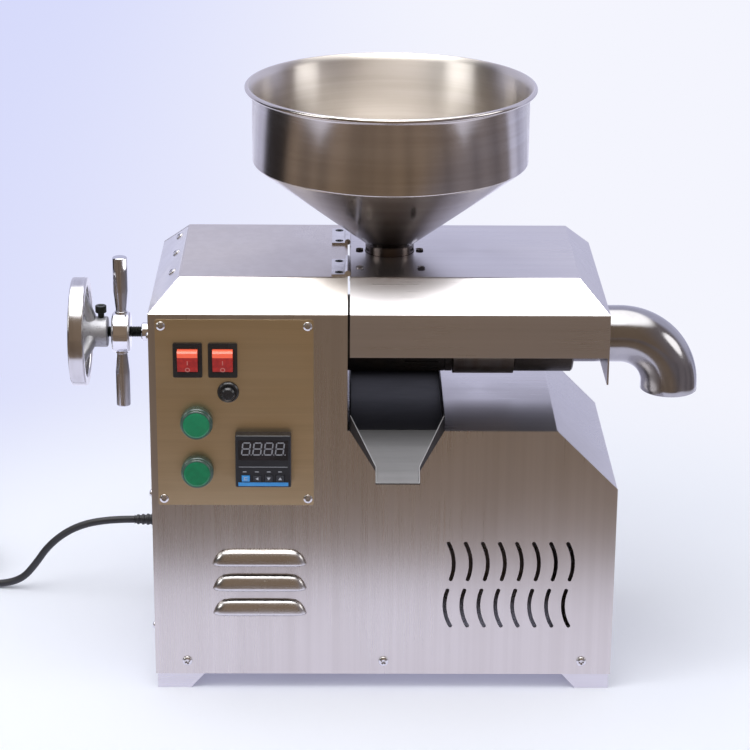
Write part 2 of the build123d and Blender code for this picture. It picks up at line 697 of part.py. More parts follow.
# Feed collar: a saddle on the cage that the hopper neck stands on
with BuildPart() as feed_collar:
    with BuildSketch(level(axis_z + cage_r * 0.5)):
        with Locations((feed_x, axis_y)):
            Circle(collar_r)
    extrude(amount=collar_top - axis_z - cage_r * 0.5)
    chamfer(feed_collar.faces().sort_by(Axis.Z)[-1].edges(), 1.0)
    with BuildSketch(level(axis_z)):
        with Locations((feed_x, axis_y)):
            Circle(feed_r - 3)
    extrude(amount=collar_top - axis_z + 1, mode=Mode.SUBTRACT)
    with BuildSketch(across(split_x)):
        with Locations((axis_y, axis_z)):
            Circle(cage_r)
    extrude(amount=cage_end - split_x, mode=Mode.SUBTRACT)
feed_collar.part.label = "feed_collar"
export_step(feed_collar.part, "parts/feed_collar.step")

with BuildPart() as press_chamber:
    with BuildSketch(across(cage_end)):
        with Locations((axis_y, axis_z)):
            Circle(chamber_r)
    extrude(amount=chamber_end - cage_end)
    for collar_x in (cage_end, chamber_end - 6):
        with BuildSketch(across(collar_x)):
            with Locations((axis_y, axis_z)):
                Circle(cage_r)
        extrude(amount=6)
    with BuildSketch(across(cage_end)):
        with Locations((axis_y, axis_z)):
            Circle(bore_r)
    extrude(amount=chamber_end - cage_end, mode=Mode.SUBTRACT)
press_chamber.part.label = "press_chamber"
export_step(press_chamber.part, "parts/press_chamber.step")

# Band heater clamped round the chamber, split at the back, with a clamp screw and a terminal box
heater_x0, heater_x1 = cage_end + 7.0, chamber_end - 7.0
heater_mid = (heater_x0 + heater_x1) / 2

with BuildPart() as heater_band:
    with BuildSketch(across(heater_x0)):
        with Locations((axis_y, axis_z)):
            Circle(heater_r)
            with Locations((heater_r + 4, 0)):
                Rectangle(12, 12)
            Circle(chamber_r, mode=Mode.SUBTRACT)
            with Locations((heater_r + 2, 0)):
                Rectangle(20, 3, mode=Mode.SUBTRACT)
    extrude(amount=heater_x1 - heater_x0)
    with Locations((heater_mid, axis_y, axis_z + chamber_r + 1)):
        Box(22, 16, 11, align=(Align.CENTER, Align.CENTER, Align.MIN))
    with BuildSketch(across(heater_x0)):
        with Locations((axis_y, axis_z)):
            Circle(chamber_r)
    extrude(amount=heater_x1 - heater_x0, mode=Mode.SUBTRACT)
heater_band.part.label = "heater_band"
export_step(heater_band.part, "parts/heater_band.step")

# Outlet head with a spigot for the elbow, and the hard ring that the screw's cone throttles
ring_r, ring_len = 26.0, 18.0
ring_x = chamber_end + 14.0
cone_half = 14.0                 # half angle of the throttling cone
throttle_r = 17.5                # smallest radius of the ring
cone_play = 1.3
cone_x = ring_x + ring_len - (bore_r - throttle_r) / tan(radians(cone_half))
spigot_len = 16.0
outlet_r = 19.0

with BuildPart() as outlet_head:
    with BuildSketch(across(chamber_end)):
        with Locations((axis_y, axis_z)):
            Circle(cage_r)
    extrude(amount=head_x - chamber_end)
    chamfer(outlet_head.faces().sort_by(Axis.X)[-1].edges(), 1.5)
    with BuildSketch(across(head_x)):
        with Locations((axis_y, axis_z)):
            Circle(pipe_r - pipe_wall)
    extrude(amount=spigot_len)
    with BuildSketch(axial(0)):
        Polygon(
            (chamber_end - 1, 0), (chamber_end - 1, bore_r), (ring_x, bore_r),
            (ring_x, ring_r), (ring_x + ring_len, ring_r), (ring_x + ring_len, outlet_r),
            (head_x + spigot_len + 1, outlet_r), (head_x + spigot_len + 1, 0), align=None,
        )
    revolve(axis=Axis((0, axis_y, axis_z), (1, 0, 0)), mode=Mode.SUBTRACT)
outlet_head.part.label = "outlet_head"
export_step(outlet_head.part, "parts/outlet_head.step")

with BuildPart() as outlet_ring:
    with BuildSketch(axial(0)):
        Polygon(
            (ring_x, bore_r), (ring_x, ring_r), (ring_x + ring_len, ring_r),
            (ring_x + ring_len, throttle_r),
            (cone_x, bore_r), align=None,
        )
    revolve(axis=Axis((0, axis_y, axis_z), (1, 0, 0)))
outlet_ring.part.label = "outlet_ring"
export_step(outlet_ring.part, "parts/outlet_ring.step")

with BuildPart() as discharge_elbow:
    with BuildLine(front(axis_y)) as elbow_path:
        FilletPolyline(
            (head_x, axis_z),
            (head_x + elbow_run + elbow_bend, axis_z),
            (head_x + elbow_run + elbow_bend, axis_z - elbow_bend - elbow_drop),
            radius=elbow_bend,
        )
    with BuildSketch(across(head_x)):
        with Locations((axis_y, axis_z)):
            Circle(pipe_r)
            Circle(pipe_r - pipe_wall, mode=Mode.SUBTRACT)
    sweep()
discharge_elbow.part.label = "discharge_elbow"
export_step(discharge_elbow.part, "parts/discharge_elbow.step")

# Lid over the press: roof section with an upright right end, notched over the elbow
lid_over = 23.0                  # lid past the outlet head
lid_skirt, lid_end_skirt = 38.0, 62.0
lid_end = head_x + lid_over
lid_lean = 25.0
lid_low = eave_z - lid_skirt
lid_end_low = eave_z - lid_end_skirt
notch_gap = 1.6
notch_r = pipe_r + notch_gap
vent_w, vent_len, vent_out = 6.5, 15.0, 26.5     # slots in the roof beside the neck
vent_row = body_d * 0.245
lid_rise = roof_z - eave_z
lean_shift = sheet * sqrt(lid_lean**2 + lid_rise**2) / lid_rise

with BuildPart() as lid_space:
    extrude(roof_section(lid_x - 1, sheet, lid_end_low - 9), amount=lid_end - sheet - lid_x + 1,
            dir=(1, 0, 0))
    with BuildSketch(front(back_y + 1)):
        Polygon((lid_end - lean_shift, eave_z), (lid_end - lean_shift - lid_lean, roof_z),
                (lid_end + 1, roof_z), (lid_end + 1, eave_z), align=None)
    extrude(amount=body_d + 2, mode=Mode.SUBTRACT)

with BuildPart() as lid:
    extrude(roof_section(lid_x, 0, lid_end_low), amount=lid_end - lid_x, dir=(1, 0, 0))
    with BuildSketch(front(back_y + 1)):
        Polygon((lid_end, eave_z), (lid_end - lid_lean, roof_z), (lid_end - lid_lean, roof_z + 1),
                (lid_end + 1, roof_z + 1), (lid_end + 1, eave_z), align=None)
    extrude(amount=body_d + 2, mode=Mode.SUBTRACT)
    add(lid_space.part, mode=Mode.SUBTRACT)
    with BuildSketch(front(back_y + 1)):
        Polygon((lid_x - 1, lid_end_low - 1), (lid_end - sheet, lid_end_low - 1),
                (lid_end - sheet, lid_low), (lid_x - 1, lid_low), align=None)
    extrude(amount=body_d + 2, mode=Mode.SUBTRACT)
    with BuildSketch(across(lid_end - 2 * sheet)):
        with Locations((axis_y, axis_z)):
            Circle(notch_r)
            Rectangle(2 * notch_r, 40, align=(Align.CENTER, Align.MAX))
    extrude(amount=3 * sheet, mode=Mode.SUBTRACT)
    with BuildSketch(level(roof_z - 2 * sheet)):
        with Locations((feed_x, axis_y)):
            Circle(neck_r + 0.5)
        with Locations(*[(feed_x + dx, axis_y + dy) for dx in (-vent_out, vent_out)
                         for dy in (-vent_row, 0, vent_row)]):
            SlotOverall(vent_len, vent_w, rotation=90)
    extrude(amount=3 * sheet, mode=Mode.SUBTRACT)
lid.part.label = "lid"
export_step(lid.part, "parts/lid.step")

# Hopper: spun bowl with a rolled rim, standing on the feed collar by its neck
hopper_r, hopper_wall = 120.6, 1.2
cone_low, cone_top, rim_z = 385.0, 460.0, 525.0
bead_r = 2.2

with BuildPart() as hopper:
    with BuildSketch(Plane(origin=(feed_x, axis_y, 0), x_dir=(1, 0, 0), z_dir=(0, -1, 0))):
        with BuildLine():
            FilletPolyline(
                (neck_r, collar_top + seat_gap), (neck_r, cone_low), (hopper_r, cone_top),
                (hopper_r, rim_z), (rim_r - bead_r, rim_z), radius=2.0,
            )
            offset(amount=hopper_wall, side=Side.LEFT)
        make_face()
        with Locations((rim_r - bead_r, rim_z)):
            Circle(bead_r)
    revolve(axis=Axis((feed_x, axis_y, 0), (0, 0, 1)))
hopper.part.label = "hopper"
export_step(hopper.part, "parts/hopper.step")

# Oil chute: a tray under the cage that falls and narrows to a lip in front of the cabinet
chute_w, lip_w = 82.0, 38.0
chute_x = lid_x + chute_w / 2
chute_wall = 1.2
chute_h = 14.5
chute_fall = tan(radians(30.5))
chute_taper = 38.0
tray_back = 57.0                 # tray behind the press axis
tray_len = body_d / 2 + tray_back


def chute_edge(out):
    """Height of the chute's floor and of its rim, at a distance in front of the cabinet."""
    floor = low_z - max(out, 0) * chute_fall
    return floor, floor + chute_wall + (chute_h - chute_wall) * (1 - max(out, 0) / chute_reach)


with BuildPart() as oil_chute:
    for out, width in ((0, chute_w), (chute_taper, lip_w), (chute_reach, lip_w)):
        floor, rim = chute_edge(out)
        with BuildSketch(front(front_y - out)):
            with Locations((chute_x, (floor + rim) / 2)):
                Rectangle(width, rim - floor)
    loft(ruled=True)
    with BuildSketch(front(front_y)):
        with Locations((chute_x, low_z + chute_h / 2)):
            Rectangle(chute_w, chute_h)
    extrude(amount=-tray_len)
    with BuildSketch(front(front_y)):
        with Locations((chute_x, low_z + chute_wall + chute_h)):
            Rectangle(chute_w - 2 * chute_wall, 2 * chute_h)
    extrude(amount=-(tray_len - chute_wall), mode=Mode.SUBTRACT)
    for out, width in ((0, chute_w), (chute_taper, lip_w), (chute_reach + 1, lip_w)):
        floor, rim = chute_edge(out)
        with BuildSketch(front(front_y - out)):
            with Locations((chute_x, floor + chute_wall)):
                Rectangle(width - 2 * chute_wall, 2 * chute_h, align=(Align.CENTER, Align.MIN))
    loft(ruled=True, mode=Mode.SUBTRACT)
oil_chute.part.label = "oil_chute"
export_step(oil_chute.part, "parts/oil_chute.step")

# Stations of the drive along X
case_len, cover_t, case_wall = 70.0, 8.0, 6.0
case_x = bulk_x - case_len
cover_x = case_x - cover_t
low_gear_x, low_gear_w = bulk_x - 22.0, 12.0      # motor pinion and idler gear
high_gear_x, high_gear_w = bulk_x - 48.0, 18.0    # idler pinion and final gear
shaft_r, idler_shaft_r, motor_shaft_r = 20.0, 8.0, 7.0
output_bearing_r, idler_bearing_r = 29.0, 15.0
cross_t, bearing_t = 12.0, 11.0
cross_x = cover_x - 32.0
bearing_x = cross_x + cross_t
shoulder_x = bearing_x + bearing_t + seat_gap
tail_r = 10.0
hex_flat = 22.0
rod_r, rod_off = 5.0, 30.0
thrust_plate_t, thrust_plate_w = 6.0, 84.0
thrust_x = left_x + sheet
rod_x = thrust_x + thrust_plate_t
rod_places = [(axis_y + dy, axis_z + dz) for dy in (-rod_off, rod_off) for dz in (-rod_off, rod_off)]
backlash = 0.16
tip_share = 0.92         # tooth tips are topped a little


def gear_outline(teeth, module, first_angle):
    """Involute gear as a sketch face; a tooth stands at first_angle (degrees)."""
    pitch_r = teeth * module / 2
    base_r = pitch_r * cos(radians(20))
    root_r = pitch_r - 1.25 * module
    tip_r = pitch_r + tip_share * module
    half = pi / 2 / teeth - backlash / 2 / pitch_r

    def flank(r):
        """Half angle of the tooth at radius r."""
        if r <= base_r:
            r = base_r
        spread = tan(20 * pi / 180) - 20 * pi / 180
        lean = sqrt(max(r**2 / base_r**2 - 1, 0))
        return half + spread - (lean - atan2(lean, 1))

    radii = [root_r - 0.5, (base_r + pitch_r) / 2 if base_r > root_r else pitch_r - 0.5 * module, tip_r]
    right = [(r * cos(flank(r)), -r * sin(flank(r))) for r in radii]
    left = [(x, -y) for x, y in reversed(right)]
    with BuildSketch(mode=Mode.PRIVATE) as gear:
        Circle(root_r)
        with PolarLocations(0, teeth, start_angle=first_angle):
            Polygon(*right, *left, align=None)
    return gear.sketch


def gear_case_outline(inset):
    """Outline that wraps the three shafts' gears, shrunk by inset, in Y and Z."""
    rounds = (
        (axis_z, gear_case_r),
        (idler_z, module_low * idler_teeth / 2 + 10),
        (motor_z, module_low * motor_teeth / 2 + 14),
    )
    with BuildSketch(mode=Mode.PRIVATE) as outline:
        for z, r in rounds:
            with Locations((axis_y, z)):
                Circle(r - inset)
        make_hull()
    return outline.sketch


with BuildPart() as gearbox_case:
    with BuildSketch(across(case_x)):
        add(gear_case_outline(0))
    extrude(amount=case_len)
    with BuildSketch(across(case_x)):
        add(gear_case_outline(case_wall))
    extrude(amount=case_len - cover_t, mode=Mode.SUBTRACT)
    with BuildSketch(across(bulk_x - cover_t)):
        with Locations((axis_y, axis_z)):
            Circle(output_bearing_r)
        with Locations((axis_y, idler_z)):
            Circle(idler_bearing_r)
        with Locations((axis_y, motor_z)):
            Circle(motor_shaft_r + 2)
    extrude(amount=cover_t, mode=Mode.SUBTRACT)
gearbox_case.part.label = "gearbox_case"
export_step(gearbox_case.part, "parts/gearbox_case.step")

with BuildPart() as gearbox_cover:
    with BuildSketch(across(cover_x)):
        add(gear_case_outline(0))
        with Locations((axis_y, axis_z)):
            Circle(output_bearing_r, mode=Mode.SUBTRACT)
        with Locations((axis_y, idler_z)):
            Circle(idler_bearing_r, mode=Mode.SUBTRACT)
    extrude(amount=cover_t)
gearbox_cover.part.label = "gearbox_cover"
export_step(gearbox_cover.part, "parts/gearbox_cover.step")

with BuildPart() as gearbox_bearings:
    for x in (cover_x, bulk_x - cover_t):
        with BuildSketch(across(x)):
            with Locations((axis_y, axis_z)):
                Circle(output_bearing_r)
                Circle(shaft_r + run_gap, mode=Mode.SUBTRACT)
            with Locations((axis_y, idler_z)):
                Circle(idler_bearing_r)
                Circle(idler_shaft_r + run_gap, mode=Mode.SUBTRACT)
        extrude(amount=cover_t)
gearbox_bearings.part.label = "gearbox_bearings"
export_step(gearbox_bearings.part, "parts/gearbox_bearings.step")

with BuildPart() as output_shaft:
    with BuildSketch(across(cover_x - 2)):
        with Locations((axis_y, axis_z)):
            Circle(shaft_r)
            RegularPolygon(hex_flat / 2 + run_gap, 6, major_radius=False, mode=Mode.SUBTRACT)
    extrude(amount=bulk_x - seat_gap - cover_x + 2)
output_shaft.part.label = "output_shaft"
export_step(output_shaft.part, "parts/output_shaft.step")

with BuildPart() as final_gear:
    with BuildSketch(across(high_gear_x)):
        with Locations((axis_y, axis_z)):
            add(gear_outline(final_teeth, module_high, -90))
            Circle(shaft_r, mode=Mode.SUBTRACT)
    extrude(amount=high_gear_w)
final_gear.part.label = "final_gear"
export_step(final_gear.part, "parts/final_gear.step")

with BuildPart() as idler_shaft:
    with BuildSketch(across(cover_x)):
        with Locations((axis_y, idler_z)):
            Circle(idler_shaft_r)
    extrude(amount=bulk_x - seat_gap - cover_x)
    with BuildSketch(across(high_gear_x)):
        with Locations((axis_y, idler_z)):
            add(gear_outline(pinion_teeth, module_high, 90 + 180 / pinion_teeth))
    extrude(amount=high_gear_w)
idler_shaft.part.label = "idler_shaft"
export_step(idler_shaft.part, "parts/idler_shaft.step")

with BuildPart() as idler_gear:
    with BuildSketch(across(low_gear_x)):
        with Locations((axis_y, idler_z)):
            add(gear_outline(idler_teeth, module_low, -90))
            Circle(idler_shaft_r, mode=Mode.SUBTRACT)
    extrude(amount=low_gear_w)
idler_gear.part.label = "idler_gear"
export_step(idler_gear.part, "parts/idler_gear.step")

# Motor, flanged to the bulkhead beside the gear case
motor_flange_r, motor_flange_t = 58.0, 8.0
motor_r, motor_len = 52.0, 125.0
core_r, core_len = 30.0, 80.0
core_gap = 0.4
motor_end = split_x + motor_len
cowl_len, cowl_wall = 30.0, 1.5
fan_r, fan_w, fan_blades = 44.0, 14.0, 7
core_x = split_x + 24.0

with BuildPart() as motor_case:
    with BuildSketch(across(bulk_x)):
        with Locations((axis_y, motor_z)):
            Circle(motor_spigot_r)
    extrude(amount=bulk_t)
    with BuildSketch(across(split_x)):
        with Locations((axis_y, motor_z)):
            Circle(motor_flange_r)
    extrude(amount=motor_flange_t)
    with BuildSketch(across(split_x)):
        with Locations((axis_y, motor_z)):
            Circle(motor_r - 3)
            with PolarLocations(motor_r - 3, 20):
                Rectangle(6, 3)
    extrude(amount=motor_len)
    with BuildSketch(across(bulk_x)):
        with Locations((axis_y, motor_z)):
            Circle(motor_shaft_r + run_gap)
    extrude(amount=bulk_t + motor_len, mode=Mode.SUBTRACT)
    with BuildSketch(across(core_x - 4)):
        with Locations((axis_y, motor_z)):
            Circle(core_r + core_gap)
    extrude(amount=core_len + 8, mode=Mode.SUBTRACT)
motor_case.part.label = "motor_case"
export_step(motor_case.part, "parts/motor_case.step")

with BuildPart() as motor_rotor:
    with BuildSketch(across(low_gear_x)):
        with Locations((axis_y, motor_z)):
            Circle(motor_shaft_r)
    extrude(amount=motor_end + fan_w + 8 - low_gear_x)
    with BuildSketch(across(low_gear_x)):
        with Locations((axis_y, motor_z)):
            add(gear_outline(motor_teeth, module_low, 90 + 180 / motor_teeth))
    extrude(amount=low_gear_w)
    with BuildSketch(across(core_x)):
        with Locations((axis_y, motor_z)):
            Circle(core_r)
    extrude(amount=core_len)
motor_rotor.part.label = "motor_rotor"
export_step(motor_rotor.part, "parts/motor_rotor.step")

with BuildPart() as motor_fan:
    with BuildSketch(across(motor_end + 5)):
        with Locations((axis_y, motor_z)):
            Circle(motor_shaft_r + 5)
            with PolarLocations((fan_r + motor_shaft_r) / 2 + 2, fan_blades):
                Rectangle(fan_r - motor_shaft_r - 4, 2)
            Circle(motor_shaft_r, mode=Mode.SUBTRACT)
    extrude(amount=fan_w)
motor_fan.part.label = "motor_fan"
export_step(motor_fan.part, "parts/motor_fan.step")

with BuildPart() as fan_cowl:
    with BuildSketch(across(motor_end - 6)):
        with Locations((axis_y, motor_z)):
            Circle(motor_r + cowl_wall + seat_gap)
    extrude(amount=cowl_len + 6)
    chamfer(fan_cowl.faces().sort_by(Axis.X)[-1].edges(), 4)
    with BuildSketch(across(motor_end - 6)):
        with Locations((axis_y, motor_z)):
            Circle(motor_r + seat_gap)
    extrude(amount=cowl_len + 6 - 3, mode=Mode.SUBTRACT)
    with BuildSketch(across(motor_end + cowl_len - 4)):
        with Locations((axis_y, motor_z)):
            with PolarLocations(30, 12):
                Rectangle(24, 5)
    extrude(amount=5, mode=Mode.SUBTRACT)
fan_cowl.part.label = "fan_cowl"
export_step(fan_cowl.part, "parts/fan_cowl.step")

# Thrust frame: plate inside the left wall, four rods to the gear case, crosshead sliding on them
with BuildPart() as thrust_plate:
    with BuildSketch(across(thrust_x)):
        with Locations((axis_y, axis_z)):
            RectangleRounded(thrust_plate_w, thrust_plate_w, 6)
            Circle(boss_r + hole_gap, mode=Mode.SUBTRACT)
    extrude(amount=thrust_plate_t)
thrust_plate.part.label = "thrust_plate"
export_step(thrust_plate.part, "parts/thrust_plate.step")

with BuildPart() as tie_rods:
    with BuildSketch(across(rod_x)):
        with Locations(*rod_places):
            Circle(rod_r)
    extrude(amount=cover_x - rod_x)
tie_rods.part.label = "tie_rods"
export_step(tie_rods.part, "parts/tie_rods.step")

spindle_r = 5.0
nut_flange_r, nut_flange_t = 16.0, 8.0

with BuildPart() as spindle_nut:
    with BuildSketch(across(left_x - boss_len)):
        with Locations((axis_y, axis_z)):
            Circle(boss_r)
    extrude(amount=boss_len + sheet + thrust_plate_t)
    chamfer(spindle_nut.faces().sort_by(Axis.X)[0].edges(), 1.0)
    with BuildSketch(across(rod_x)):
        with Locations((axis_y, axis_z)):
            Circle(nut_flange_r)
    extrude(amount=nut_flange_t)
    with BuildSketch(across(left_x - boss_len)):
        with Locations((axis_y, axis_z)):
            Circle(spindle_r + run_gap)
    extrude(amount=boss_len + sheet + thrust_plate_t + nut_flange_t, mode=Mode.SUBTRACT)
spindle_nut.part.label = "spindle_nut"
export_step(spindle_nut.part, "parts/spindle_nut.step")

with BuildPart() as crosshead:
    with BuildSketch(across(cross_x)):
        with Locations((axis_y, axis_z)):
            RectangleRounded(2 * rod_off + 24, 2 * rod_off + 24, 8)
            Circle(spindle_r + run_gap, mode=Mode.SUBTRACT)
        with Locations(*rod_places):
            Circle(rod_r + run_gap, mode=Mode.SUBTRACT)
    extrude(amount=cross_t)
crosshead.part.label = "crosshead"
export_step(crosshead.part, "parts/crosshead.step")

with BuildPart() as thrust_bearing:
    with BuildSketch(axial(0)):
        Polygon(
            (bearing_x, tail_r + run_gap), (bearing_x, 20), (bearing_x + 3.5, 20),
            (bearing_x + 3.5, 18.5), (bearing_x + bearing_t - 3.5, 18.5),
            (bearing_x + bearing_t - 3.5, 20), (bearing_x + bearing_t, 20),
            (bearing_x + bearing_t, tail_r + run_gap), align=None,
        )
    revolve(axis=Axis((0, axis_y, axis_z), (1, 0, 0)))
thrust_bearing.part.label = "thrust_bearing"
export_step(thrust_bearing.part, "parts/thrust_bearing.step")

# Handwheel, spindle and lock nut
nut_x1 = left_x - boss_len - nut_gap
nut_x0 = nut_x1 - nut_len
hub_x1 = nut_x0 - hub_gap
hub_x0 = hub_x1 - hub_len
rim_x0 = hub_x0 - wheel_dish
hub_r, wheel_r, rim_t = 13.8, 48.6, 8.0
spoke_w, spokes = 13.0, 3

with BuildPart() as spindle:
    with BuildSketch(across(hub_x0 + 1)):
        with Locations((axis_y, axis_z)):
            Circle(spindle_r)
    extrude(amount=bearing_x - seat_gap - hub_x0 - 1)
    with BuildSketch(across(cross_x - seat_gap - 5)):
        with Locations((axis_y, axis_z)):
            Circle(spindle_r + 4)
    extrude(amount=5)
spindle.part.label = "spindle"
export_step(spindle.part, "parts/spindle.step")

set_x = hub_x1 - 6.0
set_r, set_head_r, set_head_h, set_top = 2.8, 5.0, 6.2, 24.5

with BuildPart() as handwheel:
    with BuildSketch(axial(0)) as wheel_rim:
        with Locations((rim_x0 + wheel_w / 2, wheel_r - rim_t / 2)):
            Rectangle(wheel_w, rim_t)
        fillet(wheel_rim.vertices(), 2.4)
    revolve(axis=Axis((0, axis_y, axis_z), (1, 0, 0)))
    with BuildSketch(across(hub_x0)):
        with Locations((axis_y, axis_z)):
            Circle(hub_r)
    extrude(amount=hub_len)
    chamfer(handwheel.faces().sort_by(Axis.X)[-1].edges(), 1.2)
    for n in range(spokes):
        turn = radians(n * 360 / spokes)
        with BuildSketch(Plane(origin=(0, axis_y, axis_z), x_dir=(1, 0, 0),
                               z_dir=(0, -cos(turn), -sin(turn)))):
            Polygon(
                (hub_x0 + 1, hub_r - 6), (hub_x0 + 13, hub_r - 3),
                (rim_x0 + wheel_w - 1, wheel_r - rim_t + 1), (rim_x0 + wheel_w - 10, wheel_r - rim_t + 1),
                align=None,
            )
        extrude(amount=spoke_w / 2, both=True)
    with BuildSketch(across(hub_x0)):
        with Locations((axis_y, axis_z)):
            Circle(spindle_r)
    extrude(amount=hub_len, mode=Mode.SUBTRACT)
    with BuildSketch(level(axis_z)):
        with Locations((set_x, axis_y)):
            Circle(set_r)
    extrude(amount=hub_r + 1, mode=Mode.SUBTRACT)
handwheel.part.label = "handwheel"
export_step(handwheel.part, "parts/handwheel.step")

with BuildPart() as set_bolt:
    with BuildSketch(level(axis_z + spindle_r)):
        with Locations((set_x, axis_y)):
            Circle(set_r)
    extrude(amount=set_top - set_head_h - spindle_r)
    with BuildSketch(level(axis_z + set_top - set_head_h)):
        with Locations((set_x, axis_y)):
            Circle(set_head_r)
    extrude(amount=set_head_h)
    with BuildSketch(level(axis_z + set_top)):
        with Locations((set_x, axis_y)):
            RegularPolygon(2.3, 6)
    extrude(amount=-3, mode=Mode.SUBTRACT)
set_bolt.part.label = "set_bolt"
export_step(set_bolt.part, "parts/set_bolt.step")

lock_r = 18.2
lever_tip = 70.2         # from the spindle axis to the end of each lever
grip_r, grip_len, neck_lever_r = 6.5, 32.0, 4.6

with BuildPart() as lock_nut:
    with BuildSketch(axial(0)) as nut_profile:
        with Locations(((nut_x0 + nut_x1) / 2, (lock_r + spindle_r + run_gap) / 2)):
            Rectangle(nut_len, lock_r - spindle_r - run_gap)
        fillet(nut_profile.vertices().group_by(Axis.Y)[-1], 3.0)
    revolve(axis=Axis((0, axis_y, axis_z), (1, 0, 0)))
    with BuildSketch(level(axis_z - lock_r)):
        with Locations(((nut_x0 + nut_x1) / 2, axis_y)):
            Circle(neck_lever_r)
    extrude(amount=8, mode=Mode.SUBTRACT)
    with BuildSketch(level(axis_z + lock_r)):
        with Locations(((nut_x0 + nut_x1) / 2, axis_y)):
            Circle(neck_lever_r)
    extrude(amount=-8, mode=Mode.SUBTRACT)
lock_nut.part.label = "lock_nut"
export_step(lock_nut.part, "parts/lock_nut.step")

with BuildPart() as lock_levers:
    for side in (1, -1):
        with BuildSketch(Plane(origin=((nut_x0 + nut_x1) / 2, axis_y, axis_z), x_dir=(1, 0, 0),
                               z_dir=(0, -side, 0))) as lever_profile:
            with BuildLine():
                Polyline(
                    (0, lock_r - 8), (neck_lever_r, lock_r - 8), (neck_lever_r, lock_r + 1),
                    (grip_r, lever_tip - grip_len), (grip_r, lever_tip - 2),
                    (grip_r - 2, lever_tip), (0, lever_tip), close=True,
                )
            make_face()
        revolve(axis=Axis(((nut_x0 + nut_x1) / 2, axis_y, axis_z), (0, 0, 1)))
lock_levers.part.label = "lock_levers"
export_step(lock_levers.part, "parts/lock_levers.step")

# Press screw: hexagon shank in the hollow shaft, rising core with a helical flight, throttling nose
flight_r = bore_r - seat_gap
flight_pitch = 22.0
flight_w, flight_tip_w = 8.0, 5.0
core_r0, core_r1 = 10.5, 15.5
core_x0, core_x1 = split_x + 7.0, ring_x - 5.0
flight_x0, flight_x1 = split_x + 8.0, ring_x - 10.0
nose_r = bore_r - cone_play
nose_len = 15.0
seal_w = 7.0

flight_path = Helix(flight_pitch, flight_x1 - flight_x0, core_r0 - 2,
                    center=(flight_x0, axis_y, axis_z), direction=(1, 0, 0))

with BuildPart() as press_screw:
    with BuildSketch(axial(0)):
        Polygon(
            (split_x - 2, 0), (split_x - 2, flight_r), (split_x + seal_w, flight_r), (core_x0, core_r0),
            (core_x1, core_r1), (cone_x - 2, nose_r), (cone_x, nose_r),
            (cone_x + nose_len, nose_r - nose_len * tan(radians(cone_half))),
            (cone_x + nose_len, 0), align=None,
        )
    revolve(axis=Axis((0, axis_y, axis_z), (1, 0, 0)))
    with BuildSketch(Plane(origin=flight_path @ 0, x_dir=(1, 0, 0), z_dir=flight_path % 0)):
        Polygon((-flight_w / 2, 0), (flight_w / 2, 0), (flight_tip_w / 2, flight_r - core_r0 + 2),
                (-flight_tip_w / 2, flight_r - core_r0 + 2), align=None)
    with BuildLine():
        add(flight_path)
    sweep(is_frenet=True)
    with BuildSketch(across(shoulder_x)):
        with Locations((axis_y, axis_z)):
            RegularPolygon(hex_flat / 2, 6, major_radius=False)
    extrude(amount=split_x - 2 - shoulder_x)
    with BuildSketch(across(bearing_x + seat_gap)):
        with Locations((axis_y, axis_z)):
            Circle(tail_r)
    extrude(amount=shoulder_x - bearing_x - seat_gap)
press_screw.part.label = "press_screw"
export_step(press_screw.part, "parts/press_screw.step")

# Mains cord: gland with a tapered strain relief, free run to the bench, coil and plug
cord_r = 3.5
gland_flange_t = 5.0
relief_len, relief_end_r = 28.0, 4.6
gland_back_t = 4.0

with BuildPart() as cord_gland:
    gland_line = Axis((0, gland_y, gland_z), (1, 0, 0))
    with BuildSketch(Plane(origin=(0, gland_y, gland_z), x_dir=(1, 0, 0), z_dir=(0, -1, 0))):
        Polygon(
            (left_x - gland_flange_t - relief_len, 0),
            (left_x - gland_flange_t - relief_len, relief_end_r),
            (left_x - gland_flange_t, gland_r + 0.5), (left_x - gland_flange_t, gland_flange_r - 1),
            (left_x - gland_flange_t + 1, gland_flange_r), (left_x, gland_flange_r), (left_x, gland_r),
            (left_x + sheet, gland_r), (left_x + sheet, gland_flange_r),
            (left_x + sheet + gland_back_t, gland_flange_r), (left_x + sheet + gland_back_t, 0),
            align=None,
        )
    revolve(axis=gland_line)
cord_gland.part.label = "cord_gland"
export_step(cord_gland.part, "parts/cord_gland.step")

cord_route = [
    (left_x - gland_flange_t - relief_len, gland_y, gland_z),
    (left_x - 59.0, gland_y, gland_z),
    (left_x - 91.0, gland_y + 2.0, 69.5),
    (left_x - 116.0, gland_y + 4.0, 50.5),
    (left_x - 132.0, gland_y + 7.0, 26.0),
    (left_x - 145.0, gland_y + 10.0, 10.5),
    (left_x - 165.0, gland_y + 13.5, cord_r),
    (left_x - 190.0, gland_y + 17.0, cord_r),
    (left_x - 216.0, gland_y + 19.5, cord_r),
]


def corner_radii(route):
    """Arc radius at each inner corner: 0.45 of the shorter run over the tangent of half the turn."""
    radii = []
    for before, here, after in zip(route, route[1:], route[2:]):
        run_in = Vector(*here) - Vector(*before)
        run_out = Vector(*after) - Vector(*here)
        half_turn = radians(run_in.get_angle(run_out)) / 2
        radii.append(0.45 * min(run_in.length, run_out.length) / tan(half_turn))
    return radii


cord_radii = corner_radii(cord_route)
print("cord radii", [round(r, 1) for r in cord_radii])

with BuildPart() as cord:
    with BuildLine() as cord_path:
        FilletPolyline(*cord_route, radius=cord_radii)
    with BuildSketch(Plane(origin=cord_path.line @ 0, z_dir=cord_path.line % 0)):
        Circle(cord_r)
    sweep()
cord_length = cord_path.wires()[0].length
print("cord volume", round(cord.part.volume), "section x length", round(pi * cord_r**2 * cord_length))
cord.part.label = "cord"
export_step(cord.part, "parts/cord.step")

# Coil of the spare length, two turns wide and three high
coil_x, coil_y = left_x - 230.0, gland_y + 61.5
coil_mid_r = 38.5

